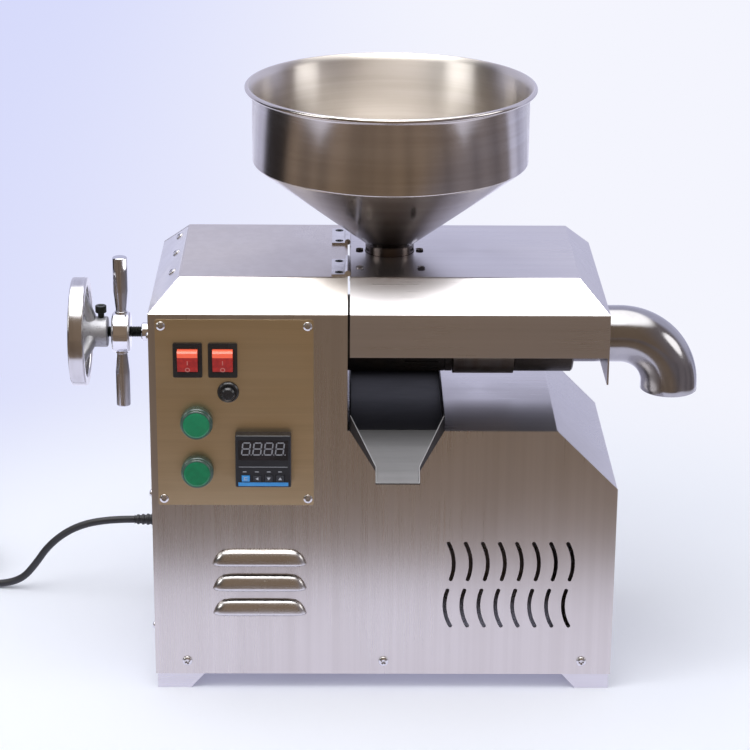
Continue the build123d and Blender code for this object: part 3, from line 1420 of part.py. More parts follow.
with BuildPart() as cord_coil:
    with BuildSketch(Plane(origin=(coil_x, coil_y, 0), x_dir=(1, 0, 0), z_dir=(0, -1, 0))) as coil_profile:
        with Locations((coil_mid_r, 3 * cord_r)):
            Rectangle(4 * cord_r, 6 * cord_r)
        fillet(coil_profile.vertices(), 2.5)
    revolve(axis=Axis((coil_x, coil_y, 0), (0, 0, 1)))
cord_coil.part.label = "cord_coil"
export_step(cord_coil.part, "parts/cord_coil.step")

# Moulded plug with three flat pins, lying beside the coil at the end of the last turn
plug_x = coil_x - coil_mid_r - cord_r
plug_y = coil_y + 20.0
plug_z = 3 * cord_r
plug_w, plug_h, plug_len = 34.0, 20.0, 30.0
plug_tail_r, plug_tail_len = 5.0, 14.0
pin_len, pin_w, pin_t = 17.0, 6.3, 1.6

with BuildPart() as cord_plug:
    with BuildSketch(front(plug_y)):
        with Locations((plug_x, plug_z)):
            Circle(plug_tail_r)
    extrude(amount=-plug_tail_len)
    with BuildSketch(front(plug_y + plug_tail_len - 4)):
        with Locations((plug_x, plug_z)):
            RectangleRounded(plug_w * 0.55, plug_h * 0.8, 5)
    with BuildSketch(front(plug_y + plug_tail_len + plug_len * 0.45)):
        with Locations((plug_x, plug_z)):
            RectangleRounded(plug_w, plug_h, 5)
    with BuildSketch(front(plug_y + plug_tail_len + plug_len)):
        with Locations((plug_x, plug_z)):
            RectangleRounded(plug_w, plug_h, 5)
    loft(ruled=True)
    with BuildSketch(front(plug_y + plug_tail_len + plug_len)):
        with Locations(Location((plug_x - 7.9, plug_z + 2, 0), (0, 0, -30))):
            Rectangle(pin_t, pin_w)
        with Locations(Location((plug_x + 7.9, plug_z + 2, 0), (0, 0, 30))):
            Rectangle(pin_t, pin_w)
        with Locations((plug_x, plug_z - 5.5)):
            Rectangle(pin_t, pin_w)
    extrude(amount=-pin_len)
cord_plug.part.label = "cord_plug"
export_step(cord_plug.part, "parts/cord_plug.step")
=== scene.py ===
import math

import bmesh
import bpy
from mathutils import Matrix, Vector


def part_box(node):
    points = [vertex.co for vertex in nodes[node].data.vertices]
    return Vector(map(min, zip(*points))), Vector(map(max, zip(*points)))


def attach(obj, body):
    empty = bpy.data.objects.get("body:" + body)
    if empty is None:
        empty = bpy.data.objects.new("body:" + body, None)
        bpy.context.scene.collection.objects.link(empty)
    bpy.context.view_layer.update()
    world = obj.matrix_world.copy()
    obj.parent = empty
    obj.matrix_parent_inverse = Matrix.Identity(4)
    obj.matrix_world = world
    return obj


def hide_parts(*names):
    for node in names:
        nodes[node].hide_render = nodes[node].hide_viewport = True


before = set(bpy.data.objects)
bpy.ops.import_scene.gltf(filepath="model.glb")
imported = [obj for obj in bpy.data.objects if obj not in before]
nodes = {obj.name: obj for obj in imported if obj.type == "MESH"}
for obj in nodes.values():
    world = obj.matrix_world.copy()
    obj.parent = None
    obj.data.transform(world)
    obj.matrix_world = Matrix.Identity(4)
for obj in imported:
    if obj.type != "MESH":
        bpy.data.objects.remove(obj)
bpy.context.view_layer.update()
mm = 0.001

# Places read from the frame, in metres
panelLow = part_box("front_panel")[0]
plateLow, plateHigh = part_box("control_plate")
coverLow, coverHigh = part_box("lower_cover")
hopperLow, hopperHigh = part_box("hopper")
chamberLow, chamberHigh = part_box("press_chamber")
leftX = panelLow.x
pressY = (chamberLow.y + chamberHigh.y) / 2
pressZ = (chamberLow.z + chamberHigh.z) / 2
plateFace = plateLow.y      # outer face of the control plate
print("frame loaded:", len(nodes), "nodes")


# Mesh helpers

# Object from a mesh, smooth except where faces meet at more than sharpAngle
def makePiece(name, mesh, sharpAngle=35):
    mesh.shade_smooth()
    mesh.set_sharp_from_angle(angle=math.radians(sharpAngle))
    piece = bpy.data.objects.new(name, mesh)
    bpy.context.scene.collection.objects.link(piece)
    return piece


def pieceFrom(name, work, sharpAngle=35):
    mesh = bpy.data.meshes.new(name)
    bmesh.ops.recalc_face_normals(work, faces=work.faces)
    work.to_mesh(mesh)
    work.free()
    return makePiece(name, mesh, sharpAngle)


def inMetres(points):
    return [(a * mm, b * mm) for a, b in points]


def rectangle(x0, y0, x1, y1):
    return [(x0, y0), (x1, y0), (x1, y1), (x0, y1)]


# Give a finished piece its body, finish and the nodes it stands for
def dress(piece, body, finishNames, replaced=()):
    piece.data.materials.clear()
    for finishName in [finishNames] if isinstance(finishNames, str) else finishNames:
        piece.data.materials.append(finishes[finishName])
    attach(piece, body)
    if replaced:
        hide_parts(*replaced)
    return piece


# Matrix whose local z points along a direction, at origin
def axisFrame(origin, along, up=None):
    z = Vector(along).normalized()
    x = Vector(up) if up else (Vector((0, 0, 1)) if abs(z.z) < 0.9 else Vector((1, 0, 0)))
    x = (x - z * x.dot(z)).normalized()
    y = z.cross(x)
    return Matrix(((x.x, y.x, z.x, origin[0]), (x.y, y.y, z.y, origin[1]),
                   (x.z, y.z, z.z, origin[2]), (0, 0, 0, 1)))


# Faces between two rings of the same number of corners
def joinRings(work, lower, upper):
    for n in range(len(lower)):
        m = (n + 1) % len(lower)
        work.faces.new((lower[n], lower[m], upper[m], upper[n]))


# Turn a profile of (height, radius) pairs about the local z axis of place
def latheInto(work, profile, place, around=96, closed=False, ripple=None):
    rings = []
    for height, radius in profile:
        if radius < 1e-7:
            rings.append([work.verts.new(place @ Vector((0, 0, height)))])
            continue
        ring = []
        for n in range(around):
            turn = 2 * math.pi * n / around
            r = radius + (ripple(height, turn) if ripple else 0)
            ring.append(work.verts.new(place @ Vector((r * math.cos(turn), r * math.sin(turn), height))))
        rings.append(ring)
    pairs = list(zip(rings, rings[1:]))
    if closed:
        pairs.append((rings[-1], rings[0]))
    for lower, upper in pairs:
        if len(lower) == len(upper) > 1:
            joinRings(work, lower, upper)
            continue
        for n in range(around):
            m = (n + 1) % around
            if len(lower) == 1:
                work.faces.new((lower[0], upper[m], upper[n]))
            else:
                work.faces.new((lower[n], lower[m], upper[0]))


def turned(name, profile, place, around=96, closed=False, ripple=None, sharpAngle=35):
    work = bmesh.new()
    latheInto(work, profile, place, around, closed, ripple)
    return pieceFrom(name, work, sharpAngle)


# The same open outline with each inner corner rounded by at most radius
def roundedProfile(points, radius, steps=5):
    result = [points[0]]
    for before, here, after in zip(points, points[1:], points[2:]):
        a, b, c = Vector(before), Vector(here), Vector(after)
        toA, toC = (a - b), (c - b)
        cosine = max(-1, min(1, toA.normalized().dot(toC.normalized())))
        half = math.acos(cosine) / 2
        reach = min(radius / max(math.tan(half), 1e-6), toA.length * 0.45, toC.length * 0.45)
        start, end = b + toA.normalized() * reach, b + toC.normalized() * reach
        for n in range(steps + 1):
            t = n / steps
            p = start * (1 - t) ** 2 + b * 2 * t * (1 - t) + end * t ** 2
            result.append((p.x, p.y))
    result.append(points[-1])
    return result


# Solid from a flat outline in local x and y, from local z 0 to depth
def prismInto(work, outline, place, depth):
    low = [work.verts.new(place @ Vector((x, y, 0))) for x, y in outline]
    high = [work.verts.new(place @ Vector((x, y, depth))) for x, y in outline]
    work.faces.new(list(reversed(low)))
    work.faces.new(high)
    joinRings(work, low, high)


# Copy of a CAD node with its sharp edges rounded. keep picks its faces by their middle;
# wide picks edges by their middle that get wideWidth instead of width.
def softened(name, nodeName, width, rounds=2, keep=None, wide=None, wideWidth=0.0):
    source = nodes[nodeName].data
    work = bmesh.new()
    corners = [work.verts.new(v.co) for v in source.vertices]
    for polygon in source.polygons:
        if keep is None or keep(polygon.center):
            try:
                work.faces.new([corners[i] for i in polygon.vertices])
            except ValueError:
                continue
    bmesh.ops.delete(work, geom=[v for v in work.verts if not v.link_faces], context="VERTS")
    bmesh.ops.remove_doubles(work, verts=work.verts, dist=2e-6)
    bmesh.ops.dissolve_limit(work, angle_limit=math.radians(0.6), verts=work.verts, edges=work.edges)
    bmesh.ops.recalc_face_normals(work, faces=work.faces)

    def sharpEdges(test):
        sharp = [e for e in work.edges
                 if len(e.link_faces) == 2 and abs(e.calc_face_angle(0)) > math.radians(28)]
        return [e for e in sharp if test((e.verts[0].co + e.verts[1].co) / 2)]

    def roundOff(edges, offset, segments):
        bmesh.ops.bevel(work, geom=edges, offset=offset, offset_type="OFFSET", segments=segments,
                        profile=0.5, affect="EDGES", clamp_overlap=True)

    if wide:
        roundOff(sharpEdges(wide), wideWidth, 4)
    roundOff(sharpEdges(lambda p: not (wide and wide(p))), width, rounds)
    piece = pieceFrom(name, work, 38)
    piece.modifiers.new("evenShading", "WEIGHTED_NORMAL").keep_sharp = True
    return piece


# Take the cutter out of the piece and delete the cutter
def cutAway(piece, cutter):
    step = piece.modifiers.new("cut", "BOOLEAN")
    step.operation = "DIFFERENCE"
    step.solver = "EXACT"
    step.object = cutter
    bpy.context.view_layer.update()
    result = bpy.data.meshes.new_from_object(piece.evaluated_get(bpy.context.evaluated_depsgraph_get()))
    piece.modifiers.clear()
    piece.data = result
    bpy.data.objects.remove(cutter)


# Shader node groups that several finishes share

def newGroup(name, inputs, outputs):
    group = bpy.data.node_groups.new(name, "ShaderNodeTree")
    for label, kind, value in inputs:
        socket = group.interface.new_socket(name=label, in_out="INPUT", socket_type=kind)
        socket.default_value = value
    for label, kind in outputs:
        group.interface.new_socket(name=label, in_out="OUTPUT", socket_type=kind)
    return group, group.nodes.new("NodeGroupInput"), group.nodes.new("NodeGroupOutput")


# Give a socket a number or a colour, or the output of another node
def feed(tree, socket, value):
    if isinstance(value, (int, float)):
        socket.default_value = value
    elif isinstance(value, (tuple, list)):
        socket.default_value = (*value[:3], 1)
    else:
        tree.links.new(value, socket)


def mathNode(tree, operation, *values):
    node = tree.nodes.new("ShaderNodeMath")
    node.operation = operation
    for socket, value in zip(node.inputs, values):
        feed(tree, socket, value)
    return node.outputs[0]


def vectorNode(tree, operation, vector):
    node = tree.nodes.new("ShaderNodeVectorMath")
    node.operation = operation
    tree.links.new(vector, node.inputs[0])
    return node


def noiseNode(tree, vector, scale, detail=2.0, rough=0.5, warp=0.0):
    node = tree.nodes.new("ShaderNodeTexNoise")
    for label, value in (("Scale", scale), ("Detail", detail), ("Roughness", rough), ("Distortion", warp)):
        feed(tree, node.inputs[label], value)
    tree.links.new(vector, node.inputs["Vector"])
    return node.outputs["Fac"]


def rangeNode(tree, value, low, high, toLow=0.0, toHigh=1.0):
    node = tree.nodes.new("ShaderNodeMapRange")
    node.interpolation_type = "SMOOTHSTEP"
    for label, number in (("From Min", low), ("From Max", high), ("To Min", toLow), ("To Max", toHigh)):
        node.inputs[label].default_value = number
    tree.links.new(value, node.inputs["Value"])
    return node.outputs["Result"]


def objectPlace(tree):
    return tree.nodes.new("ShaderNodeTexCoord").outputs["Object"]


def partsOf(tree, vector):
    parts = tree.nodes.new("ShaderNodeSeparateXYZ")
    tree.links.new(vector, parts.inputs[0])
    return parts.outputs


# Long fine scratches: noise drawn out along the brushing
def brushGroup():
    group, start, end = newGroup("brushLines", [("Stretch", "NodeSocketVector", (900, 900, 12))],
                                 [("Lines", "NodeSocketFloat"), ("Bands", "NodeSocketFloat")])
    fine = vectorNode(group, "MULTIPLY", objectPlace(group))
    group.links.new(start.outputs["Stretch"], fine.inputs[1])
    broad = vectorNode(group, "SCALE", fine.outputs[0])
    broad.inputs["Scale"].default_value = 0.11
    group.links.new(noiseNode(group, fine.outputs[0], 1.0, 4.0, 0.6), end.inputs["Lines"])
    group.links.new(noiseNode(group, broad.outputs[0], 1.0, 3.0, 0.55), end.inputs["Bands"])
    return group


# Large soft patches where hands and cloths went over the surface
def smudgeGroup():
    group, start, end = newGroup("smudges", [("Size", "NodeSocketFloat", 9.0)],
                                 [("Patches", "NodeSocketFloat")])
    clouds = noiseNode(group, objectPlace(group), start.outputs["Size"], 4.0, 0.5, 0.6)
    group.links.new(rangeNode(group, clouds, 0.34, 0.66), end.inputs["Patches"])
    return group


# Small bumps and pits of a casting or a moulding
def pittedGroup():
    group, start, end = newGroup("pitted", [("Size", "NodeSocketFloat", 700.0)],
                                 [("Height", "NodeSocketFloat"), ("Pits", "NodeSocketFloat")])
    bumps = noiseNode(group, objectPlace(group), start.outputs["Size"], 5.0, 0.62)
    group.links.new(bumps, end.inputs["Height"])
    group.links.new(rangeNode(group, bumps, 0.42, 0.3), end.inputs["Pits"])
    return group


brushLines, smudges, pitted = brushGroup(), smudgeGroup(), pittedGroup()


def placeGroup(tree, group, **values):
    node = tree.nodes.new("ShaderNodeGroup")
    node.node_tree = group
    for label, value in values.items():
        node.inputs[label].default_value = value
    return node


def newMaterial(name):
    material = bpy.data.materials.new(name)
    material.use_nodes = True
    return material, material.node_tree, material.node_tree.nodes["Principled BSDF"]


def mixColours(tree, factor, first, second, kind="MIX"):
    node = tree.nodes.new("ShaderNodeMix")
    node.data_type = "RGBA"
    node.blend_type = kind
    for label, value in (("Factor", factor), ("A", first), ("B", second)):
        feed(tree, node.inputs[label], value)
    return node.outputs["Result"]


# One colour laid over another through a share of a mask
def overlay(tree, mask, share, under, over):
    return mixColours(tree, mathNode(tree, "MULTIPLY", mask, share), under, over)


def bumpInto(tree, shader, height, strength, distance=0.0004):
    bump = tree.nodes.new("ShaderNodeBump")
    bump.inputs["Strength"].default_value = strength
    bump.inputs["Distance"].default_value = distance
    tree.links.new(height, bump.inputs["Height"])
    tree.links.new(bump.outputs["Normal"], shader.inputs["Normal"])


# Brushed or ground metal: fine lines, broad bands and soft patches in tone and roughness
def brushedMetal(name, look):
    material, tree, shader = newMaterial(name)
    brushing = placeGroup(tree, brushLines, Stretch=look["stretch"]).outputs
    patches = placeGroup(tree, smudges, Size=look.get("patchSize", 9.0)).outputs["Patches"]
    tone = mixColours(tree, rangeNode(tree, brushing["Bands"], 0.3, 0.7), look["dark"], look["colour"])
    tone = overlay(tree, brushing["Lines"], look.get("lineTone", 0.3), tone, look["light"])
    tone = overlay(tree, patches, look.get("patchTone", 0.3), tone, look["patch"])
    if "paintedShade" in look:      # painted shade: tone falling off along one axis towards a dark colour, where shade falls
        axis, start, end, shade = look["paintedShade"]
        along = partsOf(tree, objectPlace(tree))[axis]
        tone = mixColours(tree, rangeNode(tree, along, start, end), tone, shade)
    tree.links.new(tone, shader.inputs["Base Color"])
    spread = look.get("roughSpread", 0.12)
    rough = mathNode(tree, "MULTIPLY_ADD", brushing["Lines"], spread, look["roughness"] - spread / 2)
    tree.links.new(mathNode(tree, "MULTIPLY_ADD", patches, 0.05, rough), shader.inputs["Roughness"])
    shader.inputs["Metallic"].default_value = 1.0
    shader.inputs["Anisotropic"].default_value = look.get("anisotropy", 0.0)
    shader.inputs["Anisotropic Rotation"].default_value = look.get("blurTurn", 0.0)     # in turns
    bumpInto(tree, shader, brushing["Lines"], look.get("bump", 0.12), 0.0002)
    return material


# Moulded plastic or rubber with a faint grain and uneven gloss
def mouldedPlastic(name, look):
    material, tree, shader = newMaterial(name)
    grain = placeGroup(tree, pitted, Size=look.get("grain", 1500.0)).outputs
    patches = placeGroup(tree, smudges, Size=look.get("patchSize", 25.0)).outputs["Patches"]
    tone = overlay(tree, patches, look.get("patchTone", 0.5), look["colour"], look["patch"])
    tree.links.new(tone, shader.inputs["Base Color"])
    rough = mathNode(tree, "MULTIPLY_ADD", patches, 0.08, look["roughness"])
    tree.links.new(rough, shader.inputs["Roughness"])
    shader.inputs["Coat Weight"].default_value = look.get("coat", 0.0)
    bumpInto(tree, shader, grain["Height"], look.get("bump", 0.08), 0.0002)
    return material


# Cast or painted casting: pits, soft bumps and darker hollows
def castMetal(name, look):
    material, tree, shader = newMaterial(name)
    grain = placeGroup(tree, pitted, Size=look["grain"]).outputs
    patches = placeGroup(tree, smudges, Size=look.get("patchSize", 30.0)).outputs["Patches"]
    tone = mixColours(tree, grain["Pits"], look["colour"], look["dark"])
    tree.links.new(overlay(tree, patches, 0.4, tone, look["patch"]), shader.inputs["Base Color"])
    shader.inputs["Metallic"].default_value = look["metallic"]
    rough = mathNode(tree, "MULTIPLY_ADD", patches, 0.1, look["roughness"])
    tree.links.new(rough, shader.inputs["Roughness"])
    bumpInto(tree, shader, grain["Height"], look["bump"], 0.0006)
    return material


# Finishes of the machine
metalLooks = {
    "cabinetFront": {"colour": (0.6, 0.56, 0.53), "dark": (0.55, 0.51, 0.48), "light": (0.7, 0.67, 0.64),
        "patch": (0.56, 0.51, 0.47), "stretch": (1100, 1100, 10), "roughness": 0.27, "lineTone": 0.3,
        "patchTone": 0.2, "patchSize": 5.0, "anisotropy": 0.3, "bump": 0.07},
    "louvreSteel": {"colour": (0.62, 0.6, 0.59), "dark": (0.56, 0.54, 0.53), "light": (0.72, 0.7, 0.69),
        "patch": (0.56, 0.54, 0.52), "stretch": (30, 900, 900), "roughness": 0.24, "lineTone": 0.2,
        "patchTone": 0.15, "patchSize": 20.0, "bump": 0.02},
    "cabinetTop": {"colour": (0.62, 0.6, 0.61), "dark": (0.58, 0.56, 0.57), "light": (0.73, 0.71, 0.71),
        "patch": (0.58, 0.55, 0.55), "stretch": (10, 1100, 1100), "roughness": 0.27, "lineTone": 0.25,
        "patchTone": 0.2, "patchSize": 5.0, "anisotropy": 0.3, "bump": 0.07},
    "hopperSteel": {"colour": (0.62, 0.59, 0.57), "dark": (0.55, 0.51, 0.48), "light": (0.74, 0.72, 0.7),
        "patch": (0.55, 0.5, 0.46), "stretch": (40, 40, 1500), "roughness": 0.15, "lineTone": 0.2,
        "patchTone": 0.2, "patchSize": 9.0, "anisotropy": 0.2, "bump": 0.04,
        # painted shade: the lower cone darkens to near black towards the collar it stands in
        "paintedShade": ("Z", 0.425, 0.375, (0.07, 0.055, 0.05))},
    "hopperInside": {"colour": (0.66, 0.62, 0.58), "dark": (0.58, 0.54, 0.49), "light": (0.78, 0.75, 0.71),
        "patch": (0.6, 0.55, 0.5), "stretch": (40, 40, 1500), "roughness": 0.3, "lineTone": 0.25,
        "patchTone": 0.2, "patchSize": 9.0, "roughSpread": 0.05, "anisotropy": 0.9, "blurTurn": 0.25,
        "bump": 0.01},
    "polishedSteel": {"colour": (0.4, 0.39, 0.395), "dark": (0.35, 0.34, 0.345), "light": (0.5, 0.49, 0.5),
        "patch": (0.36, 0.35, 0.355), "stretch": (500, 500, 500), "roughness": 0.13, "lineTone": 0.15,
        "patchTone": 0.25, "patchSize": 20.0, "bump": 0.03},
    # painted shade: near-black steel that fades to black behind the front, in the shaded bay under the lid
    "chuteSteel": {"colour": (0.106, 0.105, 0.109), "dark": (0.085, 0.084, 0.088),
        "light": (0.165, 0.164, 0.168), "patch": (0.085, 0.083, 0.084), "stretch": (40, 900, 900),
        "roughness": 0.36, "lineTone": 0.3, "patchTone": 0.3, "patchSize": 14.0, "bump": 0.07,
        "paintedShade": ("Y", -0.118, -0.07, (0.009, 0.008, 0.007))},
    "goldPlate": {"colour": (0.73, 0.6, 0.4), "dark": (0.66, 0.54, 0.35), "light": (0.88, 0.76, 0.54),
        "patch": (0.67, 0.55, 0.37), "stretch": (24, 1300, 1300), "roughness": 0.33, "lineTone": 0.4,
        "patchTone": 0.3, "patchSize": 13.0, "anisotropy": 0.4, "bump": 0.12},
    "brightSteel": {"colour": (0.7, 0.69, 0.69), "dark": (0.6, 0.59, 0.59), "light": (0.85, 0.84, 0.84),
        "patch": (0.6, 0.58, 0.57), "stretch": (900, 900, 900), "roughness": 0.2, "lineTone": 0.2,
        "patchTone": 0.3, "patchSize": 90.0, "bump": 0.05},
    "chrome": {"colour": (0.78, 0.78, 0.8), "dark": (0.72, 0.72, 0.74), "light": (0.88, 0.88, 0.9),
        "patch": (0.72, 0.71, 0.72), "stretch": (300, 300, 300), "roughness": 0.07, "lineTone": 0.1,
        "patchTone": 0.2, "patchSize": 40.0, "bump": 0.02},
    "rimSteel": {"colour": (0.58, 0.57, 0.585), "dark": (0.5, 0.485, 0.49), "light": (0.72, 0.71, 0.725),
        "patch": (0.64, 0.62, 0.62), "stretch": (1500, 120, 120), "roughness": 0.16, "lineTone": 0.3,
        "patchTone": 0.3, "patchSize": 50.0, "anisotropy": 0.4, "bump": 0.08},
    "gripSteel": {"colour": (0.62, 0.62, 0.66), "dark": (0.55, 0.55, 0.59), "light": (0.76, 0.76, 0.8),
        "patch": (0.54, 0.54, 0.57), "stretch": (900, 900, 40), "roughness": 0.12, "lineTone": 0.2,
        "patchTone": 0.25, "patchSize": 40.0, "bump": 0.03},
    "toolSteel": {"colour": (0.46, 0.45, 0.45), "dark": (0.36, 0.35, 0.35), "light": (0.6, 0.59, 0.59),
        "patch": (0.4, 0.37, 0.34), "stretch": (1200, 200, 200), "roughness": 0.3, "lineTone": 0.35,
        "patchTone": 0.35, "patchSize": 30.0, "bump": 0.1},
    "frameSteel": {"colour": (0.52, 0.51, 0.52), "dark": (0.44, 0.43, 0.44), "light": (0.64, 0.63, 0.64),
        "patch": (0.46, 0.45, 0.45), "stretch": (30, 700, 700), "roughness": 0.38, "lineTone": 0.3,
        "patchTone": 0.35, "patchSize": 14.0, "bump": 0.08},
    "heaterJacket": {"colour": (0.34, 0.31, 0.29), "dark": (0.24, 0.2, 0.18), "light": (0.46, 0.44, 0.42),
        "patch": (0.26, 0.2, 0.16), "stretch": (900, 60, 60), "roughness": 0.42, "lineTone": 0.3,
        "patchTone": 0.6, "patchSize": 30.0, "bump": 0.15},
    "wallSteel": {"colour": (0.76, 0.75, 0.76), "dark": (0.7, 0.69, 0.7), "light": (0.86, 0.85, 0.86),
        "patch": (0.7, 0.68, 0.68), "stretch": (1100, 1100, 16), "roughness": 0.32, "lineTone": 0.35,
        "patchTone": 0.3, "patchSize": 8.0, "anisotropy": 0.3, "bump": 0.1},
}
plasticLooks = {
    "blackBezel": {"colour": (0.012, 0.012, 0.014), "patch": (0.02, 0.02, 0.022), "roughness": 0.22,
        "coat": 0.2},
    "controllerBlack": {"colour": (0.014, 0.015, 0.02), "patch": (0.02, 0.022, 0.028), "roughness": 0.3},
    "keyRubber": {"colour": (0.02, 0.022, 0.03), "patch": (0.03, 0.032, 0.04), "roughness": 0.5},
    "cordRubber": {"colour": (0.012, 0.012, 0.013), "patch": (0.025, 0.025, 0.027), "roughness": 0.42,
        "grain": 900.0, "bump": 0.15},
    "fanPlastic": {"colour": (0.02, 0.02, 0.022), "patch": (0.035, 0.035, 0.037), "roughness": 0.45},
    "markGrey": {"colour": (0.36, 0.37, 0.4), "patch": (0.42, 0.43, 0.46), "roughness": 0.5},
    "markPale": {"colour": (0.48, 0.17, 0.14), "patch": (0.54, 0.2, 0.17), "roughness": 0.4},
    "keyBlue": {"colour": (0.03, 0.22, 0.55), "patch": (0.05, 0.3, 0.65), "roughness": 0.4},
}
castLooks = {
    "castGrey": {"colour": (0.42, 0.42, 0.44), "dark": (0.2, 0.2, 0.21), "patch": (0.34, 0.33, 0.33),
        "grain": 420.0, "metallic": 0.8, "roughness": 0.48, "bump": 0.55},
    "castHousing": {"colour": (0.16, 0.18, 0.2), "dark": (0.08, 0.09, 0.1), "patch": (0.13, 0.14, 0.15),
        "grain": 260.0, "metallic": 0.2, "roughness": 0.55, "bump": 0.4},
    "motorPaint": {"colour": (0.13, 0.17, 0.23), "dark": (0.08, 0.1, 0.14), "patch": (0.1, 0.13, 0.18),
        "grain": 300.0, "metallic": 0.1, "roughness": 0.4, "bump": 0.2},
    "darkBarrel": {"colour": (0.075, 0.066, 0.062), "dark": (0.03, 0.026, 0.025),
        "patch": (0.11, 0.08, 0.06), "grain": 500.0, "metallic": 0.75, "roughness": 0.42, "bump": 0.25},
    "blackOxide": {"colour": (0.022, 0.026, 0.022), "dark": (0.012, 0.012, 0.012),
        "patch": (0.04, 0.042, 0.038), "grain": 1200.0, "metallic": 0.7, "roughness": 0.35, "bump": 0.15},
}
finishes = {}
for make, looks in ((brushedMetal, metalLooks), (mouldedPlastic, plasticLooks), (castMetal, castLooks)):
    for finishName, look in looks.items():
        finishes[finishName] = make(finishName, look)


# Coloured translucent plastic with moulded variation inside, lighter in its upper band as painted light from
# above
def litPlastic(name, look):
    material, tree, shader = newMaterial(name)
    place = objectPlace(tree)
    band = rangeNode(tree, partsOf(tree, place)["Z"], look["paintedLightLow"], look["paintedLightHigh"])
    inner = noiseNode(tree, place, look["noise"], 3.0)
    tone = mixColours(tree, rangeNode(tree, inner, 0.35, 0.65), look["colour"], look["deep"])
    # painted light: the upper band is mixed towards the bright colour
    tone = mixColours(tree, band, tone, look["bright"])
    tree.links.new(tone, shader.inputs["Base Color"])
    tree.links.new(tone, shader.inputs["Emission Color"])
    shader.inputs["Emission Strength"].default_value = look["glow"]
    shader.inputs["Roughness"].default_value = look["roughness"]
    shader.inputs["Coat Weight"].default_value = 0.3
    bumpInto(tree, shader, inner, 0.05, 0.0002)
    return material


# Window of the controller, nearly black
def darkGlass(name, look):
    material, tree, shader = newMaterial(name)
    patches = placeGroup(tree, smudges, Size=look["patchSize"]).outputs["Patches"]
    tree.links.new(mixColours(tree, patches, look["colour"], look["patch"]), shader.inputs["Base Color"])
    shader.inputs["Roughness"].default_value = look["roughness"]
    return material


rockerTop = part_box("rocker_left")[1].z
# painted highlight: the rocker's top few millimetres, which catch light from above, are lighter
finishes["redRocker"] = litPlastic("redRocker", {
    "colour": (0.38, 0.015, 0.01), "deep": (0.28, 0.009, 0.008), "bright": (0.95, 0.13, 0.06), "noise": 300.0,
    "paintedLightLow": rockerTop - 7.0 * mm, "paintedLightHigh": rockerTop - 6.2 * mm, "roughness": 0.25, "glow": 0.12})
# painted light: the lenses get lighter with height
finishes["greenLens"] = litPlastic("greenLens", {
    "colour": (0.0, 0.14, 0.055), "deep": (0.0, 0.1, 0.04), "bright": (0.01, 0.2, 0.09), "noise": 160.0,
    "paintedLightLow": 0.1, "paintedLightHigh": 0.4, "roughness": 0.2, "glow": 0.1})
finishes["lampCollar"] = mouldedPlastic("lampCollar", {
    "colour": (0.035, 0.075, 0.06), "patch": (0.05, 0.1, 0.08), "roughness": 0.25, "coat": 0.3})
finishes["darkGlass"] = darkGlass("darkGlass", {
    "colour": (0.01, 0.01, 0.012), "patch": (0.018, 0.016, 0.02), "patchSize": 40.0, "roughness": 0.12})
finishes["digitGrey"] = mouldedPlastic("digitGrey", {
    "colour": (0.2, 0.2, 0.22), "patch": (0.26, 0.26, 0.28), "roughness": 0.4})
print("finishes ready:", len(finishes))


# Camera, at the photograph's place
cameraPlace = {"place": (-0.037721, -2.141771, 1.03899), "pitch": 19.867, "yaw": 0.739, "roll": 0.438,
               "lens": 122.165, "sensor": 36.0}


def makeCamera(look):
    data = bpy.data.cameras.new("camera")
    data.lens, data.sensor_width, data.sensor_fit = look["lens"], look["sensor"], "HORIZONTAL"
    data.clip_end = 100
    pitch, yaw, roll = (math.radians(look[key]) for key in ("pitch", "yaw", "roll"))
    ahead = Vector((math.sin(yaw) * math.cos(pitch), math.cos(yaw) * math.cos(pitch), -math.sin(pitch)))
    right = Vector((math.cos(yaw), -math.sin(yaw), 0))
    up = right.cross(ahead)
    tiltedRight = right * math.cos(roll) + up * math.sin(roll)
    tiltedUp = up * math.cos(roll) - right * math.sin(roll)
    camera = bpy.data.objects.new("camera", data)
    camera.matrix_world = Matrix(((tiltedRight.x, tiltedUp.x, -ahead.x, look["place"][0]),
                                  (tiltedRight.y, tiltedUp.y, -ahead.y, look["place"][1]),
                                  (tiltedRight.z, tiltedUp.z, -ahead.z, look["place"][2]), (0, 0, 0, 1)))
    bpy.context.scene.collection.objects.link(camera)
    bpy.context.scene.camera = camera


makeCamera(cameraPlace)


# Mains cord: route from the strain relief to the bench, then the coil of spare length and the plug
cordLook = {
    "diameter": 7.0 * mm,
    "length": 1.52,
    "route": [(-237.85, 108.5, 78.0), (-263.85, 108.5, 78.0), (-295.85, 110.5, 69.5), (-320.85, 112.5, 50.5),
              (-336.85, 115.5, 26.0), (-349.85, 118.5, 10.5), (-369.85, 122.0, 3.5), (-394.85, 125.5, 3.5),
              (-420.85, 128.0, 3.5)],
    "coilMiddle": (-434.85, 170.0),
    "turnPlaces": [(42.0, 3.5), (35.0, 3.5), (35.0, 10.5), (35.0, 17.5), (42.0, 17.5), (42.0, 10.5)],
    "coilTurns": 5.25,
    "pointsPerTurn": 16,
    "shift": 26.0,            # degrees over which the cord moves from one place to the next
    "tail": [(-476.85, 180.0, 10.5), (-476.85, 192.0, 10.5)],
}


